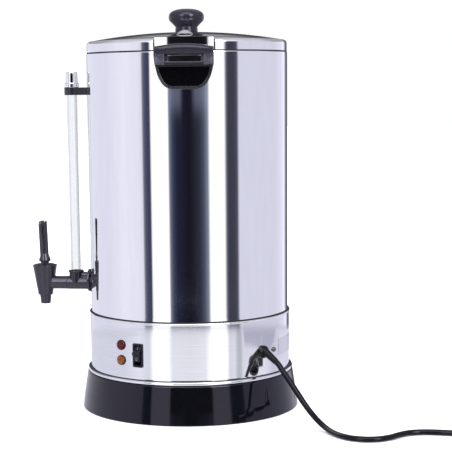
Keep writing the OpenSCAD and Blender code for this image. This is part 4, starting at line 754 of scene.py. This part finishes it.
# %% Handles: the arms flare, from 50 mm between them at the plate to 70 mm under the grip
PLATE_FACE, GRIP_TOP = TANK_R + 8.0, RIM + 7.7
GRIP_REACH, GRIP_FOOT = TANK_R + 37.0, GRIP_TOP - 12.7
ARM_IN, ARM_OUT = 24.9, 35.0
for name, azimuth in (("handle_near", HANDLE_AZ), ("handle_far", HANDLE_AZ + 180)):
    wedges = []
    for side in (-1, 1):
        outline = [(side * ARM_IN, -PLATE_FACE - 3.0), (side * ARM_OUT, -GRIP_REACH + 6.0),
                   (side * ARM_OUT, -GRIP_REACH - 2.0), (side * ARM_IN, -GRIP_REACH - 2.0)]
        wedges.append((outline, GRIP_TOP - 32.0, GRIP_FOOT, azimuth))
    moulding = soft_copy(name + "_moulding", name, "urn", "handle_black", 0.75, 5, wedges)
    x, y, z = face_centres(moulding, azimuth)
    # the hollow in the plate's face is smoother than the grained rim, and painted darker as shade
    hollow = within(-y, PLATE_FACE - 3.5, PLATE_FACE - 0.9) & within(z, GRIP_TOP - 54.0, GRIP_TOP - 26.0)
    refinish(moulding, "painted_hollow_shade", hollow & (np.abs(x) < ARM_OUT + 0.4))
    # and the flared faces of the arms are painted pale, as a painted reflection of the room at a grazing
    # angle
    flared = within(-y, PLATE_FACE + 0.6, GRIP_REACH - 3.0) & within(z, GRIP_TOP - 31.0, GRIP_FOOT + 0.5)
    refinish(moulding, "painted_arm_reflection", flared & within(np.abs(x), ARM_IN, ARM_OUT + 0.6))

# %% Tap, gauge fittings, gland and plug
soft_copy("tap_body_moulding", "tap_body", "urn", "tap_black", 0.45, 3)
# the lever's rib and paddle part at the tip: a notch, with a narrow slit below it
lever_points = np.array([v.co for v in nodes["tap_lever"].data.vertices]) / MM
LEVER_TOP = lever_points[:, 2].max()
tip_y = lever_points[lever_points[:, 2] > LEVER_TOP - 4.0][:, 1]
parting = (tip_y.min() + tip_y.max()) / 2
slits = []
for half, depth in ((1.0, 7.0), (0.5, 19.0)):
    slits.append((block(15, -parting - half, -parting + half), LEVER_TOP - depth, LEVER_TOP + 2.0, 0.0))
soft_copy("tap_lever_moulding", "tap_lever", "lever", "tap_black", 0.35, 4, slits)
soft_copy("gauge_tee_moulding", "gauge_tee", "urn", "tap_black", 0.4, 3)
soft_copy("gauge_bracket_moulding", "gauge_bracket", "urn", "tap_black", 0.3, 3)
soft_copy("gland_moulding", "cord_gland", "urn", "rubber_black", 0.3, 4)
soft_copy("plug_moulding", "mains_plug", "urn", "plug_black", 0.6, 5)

# %% [markdown]
# ## The level gauge
# A clear tube stands in its socket, and a bright cap closes it at the top.

# %% Gauge glass and cap
GLASS_FOOT, GLASS_TOP = span("gauge_glass", 2)
GLASS_R, BORE_R = 7.0, 5.2
glass_profile = fillet([
    (GLASS_R, GLASS_FOOT, 0.4), (GLASS_R, GLASS_TOP, 0.5),
    (BORE_R, GLASS_TOP, 0.5), (BORE_R, GLASS_FOOT, 0.4),
], steps=3)
glass = revolve("gauge_tube", glass_profile, "urn", "gauge_glass", around=GAUGE_AXIS, segments=64)
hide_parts("gauge_glass")
CAP_FOOT, CAP_TOP = span("gauge_cap", 2)
cap_profile = fillet([
    (7.12, CAP_FOOT, 0.2), (9.55, CAP_FOOT, 0.6), (9.55, CAP_FOOT + 5.4, 0.7), (8.3, CAP_FOOT + 6.0, 0.4),
    (8.0, CAP_FOOT + 12.0, 0.0), (7.6, CAP_TOP, 1.2), (1.0, CAP_TOP, 0.2), (1.0, CAP_TOP - 4.6, 0.0),
    (7.12, CAP_TOP - 4.6, 0.0),
], steps=5)
cap = revolve("gauge_cap_plated", cap_profile, "urn", "chromium", around=GAUGE_AXIS, segments=72)
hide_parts("gauge_cap")

# %% [markdown]
# ## Controls
# Two faceted lenses, a framed rocker with its O and I, and a bare foil where a label
# would be.

# %% Lamps
LENS_R, LENS_SIDES, SHADE_R, STEM_R, STEM_IN = 7.0, 12, 6.2, 4.8, 20.0
lens = [
    (0.3, PANEL_R - STEM_IN), (STEM_R, PANEL_R - STEM_IN), (STEM_R, PANEL_R + 0.15), (LENS_R, PANEL_R + 0.15),
    (LENS_R, PANEL_R + 1.1), (6.3, PANEL_R + 2.5), (3.6, PANEL_R + 3.55), (0.05, PANEL_R + 3.65),
]


def lamp_points(z):
    """The lens's profile of (radius, reach) turned round an axis that points outwards:
    x = r cos t, y = -reach, z = z0 + r sin t, then turned to the lamps' azimuth."""
    r, reach = np.array(lens).T[:, :, None]
    t = np.linspace(0, 2 * math.pi, LENS_SIDES, endpoint=False) + math.pi / LENS_SIDES
    return turned(np.stack([r * np.cos(t), -reach + 0 * t, z + r * np.sin(t)], axis=-1), LAMP_AZ)


for name, node, finish, rim, slot_name in (
    ("ruby_lamp_lens", "red_lamp", "ruby_lens", "ruby_rim_painted_shade", "red_lens"),
    ("amber_lamp_lens", "amber_lamp", "amber_lens", "amber_rim_painted_shade", "amber_lens"),
):
    middle = sum(span(node, 2)) / 2
    lamp = skin(name, lamp_points(middle), "urn", finish, sharp=1.0)
    # painted shade: the rim's faces are darker than the middle
    x, y, z = face_centres(lamp, LAMP_AZ)
    refinish(lamp, rim, np.hypot(x, z - middle) > SHADE_R)
    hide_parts(node)


# %% Rocker switch
FRAME_W, FRAME_H, FRAME_T, CAN_DEPTH = 15.0, 31.6, 1.8, 16.0
WELL_W, WELL_H = CAN_W - 2.6, CAN_H - 2.4


def section(w, h, radius, depth, up=0.0):
    """A rectangle with rounded corners that stands on the panel at the switch, at a depth in
    front of the panel's face and a height over the switch's middle."""
    corners = [(-w / 2, -h / 2), (w / 2, -h / 2), (w / 2, h / 2), (-w / 2, h / 2)]
    outline = fillet([(x, z, radius) for x, z in corners], steps=4)
    return turned([(x, -(PANEL_R + depth), SWITCH_Z + up + z) for x, z in outline], SWITCH_AZ)


bezel = skin("switch_frame", [
    section(FRAME_W, FRAME_H, 1.6, 0.0), section(FRAME_W, FRAME_H, 1.6, FRAME_T - 0.5),
    section(FRAME_W - 0.9, FRAME_H - 0.9, 1.2, FRAME_T), section(WELL_W + 1.0, WELL_H + 1.0, 0.7, FRAME_T),
    section(WELL_W, WELL_H, 0.4, FRAME_T - 0.5), section(WELL_W, WELL_H, 0.4, -CAN_DEPTH),
    section(CAN_W, CAN_H, 0.5, -CAN_DEPTH), section(CAN_W, CAN_H, 0.5, 0.0),
], "urn", "switch_black")
CAN_BACK, TAG_END = 19.9, 27.5
can_rings = [section(CAN_W, CAN_H, 0.5, -depth) for depth in (CAN_BACK, CAN_DEPTH)]
can = loft("switch_can", can_rings, "urn", "switch_black")
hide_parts("switch_body")
for name, up in (("lower", -7), ("upper", 7)):
    tag_rings = [section(6.3, 0.8, 0.2, -depth, up) for depth in (TAG_END, CAN_BACK)]
    loft("switch_tag_" + name, tag_rings, "urn", "brass")

# %% The rocker: one side line, carried across the well, leant about the pivot
PIVOT, LEAN = 7.0, math.radians(-14.0)
ROCKER_HALF, ROCKER_LONG, FRONT, CREST = WELL_W / 2 - 0.3, WELL_H / 2 - 2.4, 9.0, 15.8
side_line = np.array(fillet([
    (-FRONT, ROCKER_LONG, 0.7), (-FRONT - 0.9, ROCKER_LONG - 4.5, 6.0), (-CREST + 2.6, 3.2, 5.0),
    (-CREST, 0.0, 0.9), (-CREST + 2.6, -3.2, 5.0), (-FRONT - 0.9, 4.5 - ROCKER_LONG, 6.0),
    (-FRONT, -ROCKER_LONG, 0.7), (-FRONT + 3, -ROCKER_LONG, 0.5), (3, -3, 0.5), (3, 3, 0.5),
    (-FRONT + 3, ROCKER_LONG, 0.5)], steps=4))


def rocker_frame(p):
    """Points about the pivot, leant by the rest angle and put on the panel at the switch:
    y' = y cos a - z sin a - reach of the pivot, z' = y sin a + z cos a + height."""
    x, y, z = np.moveaxis(np.asarray(p, float), -1, 0)
    leant_y = y * math.cos(LEAN) - z * math.sin(LEAN)
    leant_z = y * math.sin(LEAN) + z * math.cos(LEAN)
    return turned(np.stack([x, leant_y - (PANEL_R - PIVOT), leant_z + SWITCH_Z], axis=-1), SWITCH_AZ)


from_middle = side_line - side_line.mean(0)
inwards = from_middle / np.linalg.norm(from_middle, axis=1, keepdims=True)
rocker_rings = []
for x, inset in ((-ROCKER_HALF, 0.5), (-ROCKER_HALF + 0.15, 0.2), (-ROCKER_HALF + 0.5, 0.0),
                 (ROCKER_HALF - 0.5, 0.0), (ROCKER_HALF - 0.15, 0.2), (ROCKER_HALF, 0.5)):
    rocker_rings.append([(x, y, z) for y, z in side_line - inwards * inset])
rocker = loft("switch_rocker_cap", rocker_frame(rocker_rings), "rocker", "switch_black", sharp=40)
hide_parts("switch_rocker")


# %% The marks O and I: thin prints that follow the rocker's face
PRINT_T, SUNK = 0.12, 0.03
O_Z, O_OUT, O_IN, I_HALF, I_SPAN = -7.1, 1.75, 1.25, 0.28, (5.4, 8.6)


def face_y(z):
    """Height of the rocker's face at a place along it, from the face's own line."""
    face = side_line[side_line[:, 0] < -FRONT + 0.5]
    order = np.argsort(face[:, 1])
    return np.interp(z, face[order, 1], face[order, 0])


t = np.linspace(0, 2 * math.pi, 28, endpoint=False)
o_rings = []
for radius, proud in ((O_OUT, 0.0), (O_OUT, PRINT_T), (O_IN, PRINT_T), (O_IN, 0.0)):
    z = O_Z + radius * np.sin(t)
    o_rings.append(np.stack([radius * np.cos(t), face_y(z) - proud + SUNK, z], axis=1))
skin("mark_off", rocker_frame(o_rings), "rocker", "white_print")
i_rings = []
for z in np.linspace(*I_SPAN, 5):
    under, over = face_y(z) + SUNK, face_y(z) - PRINT_T
    i_rings.append([(-I_HALF, under, z), (I_HALF, under, z), (I_HALF, over, z), (-I_HALF, over, z)])
loft("mark_on", rocker_frame(i_rings), "rocker", "white_print")

# %% Bare foil for a label, slightly proud of the band
FOIL_TURN, FOIL_HALF = math.radians(18.0), 11.0
foil_rings = []
for proud, inset in ((0.02, 0.0), (0.28, 0.0), (0.3, 0.25)):
    half = FOIL_TURN - inset / PANEL_R
    low, high = FOIL_Z - FOIL_HALF + inset, FOIL_Z + FOIL_HALF - inset
    turns = np.linspace(-half, half, 40)
    edge = [(t, low) for t in turns] + [(t, high) for t in turns[::-1]]
    reach = PANEL_R + proud
    foil_rings.append([(reach * math.sin(t), -reach * math.cos(t), z) for t, z in edge])
foil_rings = turned(foil_rings, FOIL_AZ)
verts, faces, uv = grid_mesh(foil_rings, False, True)
count = foil_rings.shape[1]
faces = faces.tolist()
# the back and the front are bent, so each is a strip of quads from the lower to the upper edge
for row in (0, len(foil_rings) - 1):
    for k in range(count // 2 - 1):
        lower, upper = row * count + k, row * count + count - 1 - k
        faces.append([lower, lower + 1, upper - 1, upper])
uv = np.vstack([uv, np.zeros((4 * 2 * (count // 2 - 1), 2))])
foil = add_mesh("bare_foil", verts, faces, "urn", "satin_foil", uv)
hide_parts("rating_plate")

# %% [markdown]
# ## Finishes on the CAD's own pieces
# The rest of the frame keeps its own solids. Each gets the material that the real
# piece is made of, and smooth shading with crisp edges.

# %% Materials by slot
BY_SLOT = {
    "polished_steel": "pressed_steel", "zinc_sheet": "zinc", "zinc_steel": "zinc",
    "bright_pin": "drawn_wire", "chrome": "chromium", "element_sheath": "oxidised_sheath",
    "foil": "satin_foil", "black_gloss": "gloss_black", "black_handle": "handle_black",
    "black_tap": "tap_black", "black_moulding": "switch_black",
    "black_plug": "plug_black", "black_cord": "cord_black", "black_rubber": "rubber_black",
    "nylon_white": "natural_nylon", "ceramic_white": "glazed_ceramic", "wire_colours": "wire_blue",
    "clear_glass": "gauge_glass", "red_lens": "ruby_lens",
}
for part in frame["record"]["subparts"]:
    mesh = nodes[part["node"]].data
    slot_name = part["material_slot"]
    mesh.materials.clear()
    mesh.materials.append(materials[BY_SLOT.get(slot_name, slot_name)])
    mesh.polygons.foreach_set("use_smooth", [True] * len(mesh.polygons))
    mesh.set_sharp_from_angle(angle=math.radians(30))
nodes["earth_screw"].data.materials[0] = materials["oxidised_sheath"]
nodes["plug_pins"].data.materials[0] = materials["chromium"]

# %% [markdown]
# ## The studio
# A pale floor and a soft room. The tank is a mirror, so the room is drawn by
# direction: two tall white panels, the dark gap between them where the camera
# stands, two narrow dark edges, and pale lavender walls.

# %% Floor
FLOOR_HALF = 14
corners = [(-FLOOR_HALF, -FLOOR_HALF, 0), (FLOOR_HALF, -FLOOR_HALF, 0), (FLOOR_HALF, FLOOR_HALF, 0),
           (-FLOOR_HALF, FLOOR_HALF, 0)]
floor_mesh = bpy.data.meshes.new("studio_floor")
floor_mesh.from_pydata(corners, [], [(0, 1, 2, 3)])
floor_mesh.materials.append(materials["pale_floor"])
floor = bpy.data.objects.new("studio_floor", floor_mesh)
scene.collection.objects.link(floor)
floor.visible_glossy = False
floor.visible_transmission = False

# %% Directions: the turn about the urn, with the camera in its middle, and the elevation
SOFT_BOX, FLOOR_LIGHT, BACKDROP, WHITE = 12.0, 1.22, 1.02, (1.0, 1.0, 1.0, 1.0)
world = bpy.data.worlds.new("soft_room")
scene.world = world
world.use_nodes = True
tree = world.node_tree
tree.nodes.clear()
where = add_node(tree, "TexCoord", {})
spin = add_node(tree, "VectorRotate", {
    "Vector": where.outputs["Generated"], "Angle": -math.radians(CAM_AZ - 90)}, rotation_type="Z_AXIS")
axes = add_node(tree, "SeparateXYZ", {"Vector": spin})
radians = add_node(tree, "Math", {0: axes.outputs["Y"], 1: axes.outputs["X"]}, operation="ARCTAN2")
turns = add_node(tree, "Math", {0: radians, 1: 0.5 / math.pi}, operation="MULTIPLY")
place = add_node(tree, "Math", {0: turns, 1: 0.5}, operation="ADD")
steep = add_node(tree, "Math", {0: axes.outputs["Z"]}, operation="ARCSINE")
lift = add_node(tree, "Math", {0: steep, 1: 180 / math.pi}, operation="MULTIPLY")


def painted(stops, share=place, limit=180):
    """Colours by an angle between -limit and limit degrees: the turn has the camera at 0, the
    picture's left at -90 and its right at 90. A stop is the angle and then a grey, a grey and
    how much bluer it is, or red, green and blue. The end stops hold beyond their angles."""
    pairs = []
    for angle, *colour in stops:
        if len(colour) < 3:
            level, cool = (colour + [0.0])[:2]
            colour = [level, level, level * (1 + cool)]
        pairs.append(((angle + limit) / (2 * limit), (*colour, 1.0)))
    return add_node(tree, "ValToRGB", {"Fac": share}, pairs)


def stacked(lower, upper, change, height=lift):
    """One colour below another, with an eased change between two elevations in degrees."""
    share = add_node(tree, "MapRange", {"Value": height, "From Min": change[0], "From Max": change[1]},
                     interpolation_type="SMOOTHSTEP")
    return add_node(tree, "Mix", {0: share, 6: lower, 7: upper}, data_type="RGBA").outputs[2]


# %% Walls: the upright bands that the tank shows, from the picture's left to its right
HAZE_FOOT, HAZE_TOP, CLEAR_GAP = (-9.0, -8.5), (-1.3, -0.35), (0.0, 0.8)
left_of_gap = [
    (-180, 0.86, 0.1), (-150, 0.84, 0.13), (-105, 0.82, 0.15), (-78, 0.93, 0.12), (-57, 0.88, 0.13),
    (-53.2, 0.80, 0.15), (-51.8, 0.17, 0.18, 0.23), (-49.5, 0.09, 0.10, 0.16), (-46, 0.05, 0.055, 0.11),
    (-43.2, 0.06, 0.065, 0.12), (-41.8, 1.3), (-22.6, 1.3),
]
hazy_gap = [
    (-21, 0.19, 0.21, 0.28), (-17.5, 0.05, 0.062, 0.105), (-13, 0.018, 0.022, 0.047),
    (-4, 0.013, 0.0125, 0.024), (1, 0.010, 0.0088, 0.017), (6, 0.017, 0.017, 0.028),
    (13, 0.033, 0.036, 0.056), (18, 0.08, 0.095, 0.147), (22.8, 0.28, 0.31, 0.39),
]
black_gap = [
    (-21.6, 0.03, 0.3), (-19, 0.009, 0.3), (20, 0.007, 0.3), (23, 0.03, 0.3),
]
right_of_gap = [
    (24.6, 1.3), (41.6, 1.3), (44, 0.13, 0.14, 0.2), (47, 0.05, 0.053, 0.075), (54, 0.055, 0.058, 0.085),
    (58.2, 0.10, 0.105, 0.145), (60, 0.78, 0.18),
]
bands = painted(left_of_gap + hazy_gap + right_of_gap)
high_bands = painted(left_of_gap + black_gap + right_of_gap)
edges = painted([
    (-174, 0.08, 0.06), (-169, 0.5, 0.06), (-160, 1.0, 0.02), (60, 0.96), (120, 0.95), (138, 1.1),
    (146, 1.3), (151, 0.8), (155, 0.2), (166, 0.14), (174, 0.08),
])
# Pale haze lies in the gap: on both sides of its middle under the handle, and along its foot
haze = painted([
    (-21.5, 0.0), (-19.5, 0.10, 0.11, 0.15), (-9, 0.12, 0.13, 0.17), (-5, 0.0), (4, 0.0),
    (9, 0.10, 0.11, 0.15), (21, 0.10, 0.11, 0.15), (24, 0.0),
])
foot_haze = painted([
    (-20, 0.0), (-16, 0.03, 0.045, 0.075), (12, 0.02, 0.035, 0.06), (19, 0.0),
])
hazy_top = add_node(tree, "VectorMath", {0: bands, 1: haze}, operation="ADD")
hazy_foot = add_node(tree, "VectorMath", {0: bands, 1: foot_haze}, operation="ADD")
low_bands = stacked(hazy_foot, stacked(bands, hazy_top, HAZE_TOP), HAZE_FOOT)
all_bands = stacked(low_bands, high_bands, CLEAR_GAP)
walls = add_node(tree, "VectorMath", {0: all_bands, 1: edges}, operation="MULTIPLY")

# %% Table: what the low housing shows, and the walls' lavender shade, whose foot waves
SHADE_FOOT, TABLE_EDGE = (-9.56, -9.46), (-9.6, -9.28)
table = painted([
    (-180, 0.75, 0.15), (-80, 0.78, 0.16), (-60, 0.93, 0.12), (-52, 0.84, 0.12), (-47, 0.82, 0.12),
    (-42, 1.35), (-25, 1.3), (-20, 0.92, 0.08), (0, 0.90, 0.08), (17, 0.95, 0.07), (24, 1.35), (42, 1.35),
    (46, 0.80, 0.1), (52, 0.88, 0.1), (56, 0.58, 0.14), (60, 0.58, 0.14), (63, 0.84, 0.12),
    (95, 0.90, 0.12), (112, 0.66, 0.2), (130, 0.80, 0.15), (180, 0.75, 0.15),
])
shade = painted([
    (0, 0.74, 0.74, 0.84), (40, 0.50, 0.49, 0.61),
])
overhang = painted([
    (-180, 0.0), (-150, 0.1), (-128, 0.34), (-112, 0.30), (-96, 0.46), (-74, 0.28), (-56, 0.1),
    (-52, 0.0), (63, 0.0), (64.5, 0.62), (82, 0.74), (94, 0.92), (104, 0.86), (112, 0.5), (117, 0.0),
])
hung = add_node(tree, "Math", {0: lift, 1: overhang}, operation="ADD")
table = stacked(table, shade, SHADE_FOOT, height=hung)
room = stacked(table, walls, TABLE_EDGE)

# %% Upper room: two tall soft boxes, a dim far side that is lighter higher up, and a ceiling
FAR_SIDE, BOX_FOOT, BOX_TOP, CEILING = (11.0, 15.0), (9.6, 11.4), (36.0, 44.0), (72.0, 84.0)
box_bands = painted([
    (-180, 0.13, 0.08), (-125, 0.20, 0.08), (-75, 0.7, 0.08), (-45, 1.0, 0.06), (-41, SOFT_BOX / 2),
    (-23, SOFT_BOX / 2), (-19, 0.8, 0.06), (21, 0.8, 0.06), (25, SOFT_BOX), (42, SOFT_BOX),
    (46, 1.0, 0.06), (75, 0.7, 0.08), (125, 0.20, 0.08), (180, 0.13, 0.08),
])
far_side = painted([
    (-180, 3.0), (-125, 2.0), (-75, 1.0), (75, 1.0), (125, 2.0), (180, 3.0),
])
lighter = stacked(WHITE, far_side, FAR_SIDE)
boxes = add_node(tree, "VectorMath", {0: box_bands, 1: lighter}, operation="MULTIPLY")
# A wide panel hangs high over the camera, and the grip and the knob show it along their tops
overhead = painted([
    (-110, 0.6, 0.06), (-50, 0.8), (-34, 4.2, 0.06), (34, 4.2, 0.06), (50, 0.8), (110, 0.6, 0.06),
])
over_nadir = add_node(tree, "Math", {0: lift, 1: 90.0}, operation="ADD")
upward = add_node(tree, "Math", {0: over_nadir, 1: 180.0}, operation="DIVIDE")
ceiling = painted([
    (30, 0.8), (45, 0.42, 0.05), (70, 0.42, 0.05), (90, 0.5, 0.05),
], upward, 90)
for upper, change in ((boxes, BOX_FOOT), (overhead, BOX_TOP), (ceiling, CEILING)):
    room = stacked(room, upper, change)

# %% What a ray sees: the room from a mirror, even light from a matt face, greys through glass, else white
through_glass = painted([
    (-176, 1.0, 0.04), (-165, 0.92, 0.06), (-120, 0.7, 0.08), (0, 0.55, 0.06), (120, 0.52, 0.04),
    (168, 0.64, 0.04), (177, 0.74, 0.04), (179, 0.98, 0.04), (180, 1.0, 0.04),
])
rays = add_node(tree, "LightPath", {})
depth = rays.outputs["Diffuse Depth"]
scattered = add_node(tree, "Math", {0: depth, 1: 0.5}, operation="GREATER_THAN")
seen = add_node(tree, "Background", {"Color": room})
for share, colour, strength in (
    (scattered, WHITE, FLOOR_LIGHT),
    (rays.outputs["Is Transmission Ray"], through_glass, 1.0),
    (rays.outputs["Is Camera Ray"], WHITE, BACKDROP),
):
    light = add_node(tree, "Background", {"Color": colour, "Strength": strength})
    seen = add_node(tree, "MixShader", {0: share, 1: seen, 2: light})
add_node(tree, "OutputWorld", {"Surface": seen})
print("room nodes", len(tree.nodes))


# %% Soft lights for the floor
AIM_M = 0.15


def soft_light(name, place_m, size_m, watts):
    """A square light that faces the urn. It lights the floor and the mouldings, and the
    tank doesn't mirror it, because the room already holds what the tank shows."""
    data = bpy.data.lights.new(name, "AREA")
    data.shape, data.size, data.energy = "SQUARE", size_m, watts
    obj = bpy.data.objects.new(name, data)
    scene.collection.objects.link(obj)
    obj.location = place_m
    aim = Vector((0, 0, AIM_M)) - Vector(place_m)
    obj.rotation_euler = aim.to_track_quat("-Z", "Y").to_euler()
    obj.visible_glossy = False


soft_light("overhead_soft", (0.5, 0.2, 3.2), 3.0, 62.0)
soft_light("side_soft", (1.6, -2.0, 1.6), 1.6, 14.0)
scene.view_settings.view_transform = "Standard"
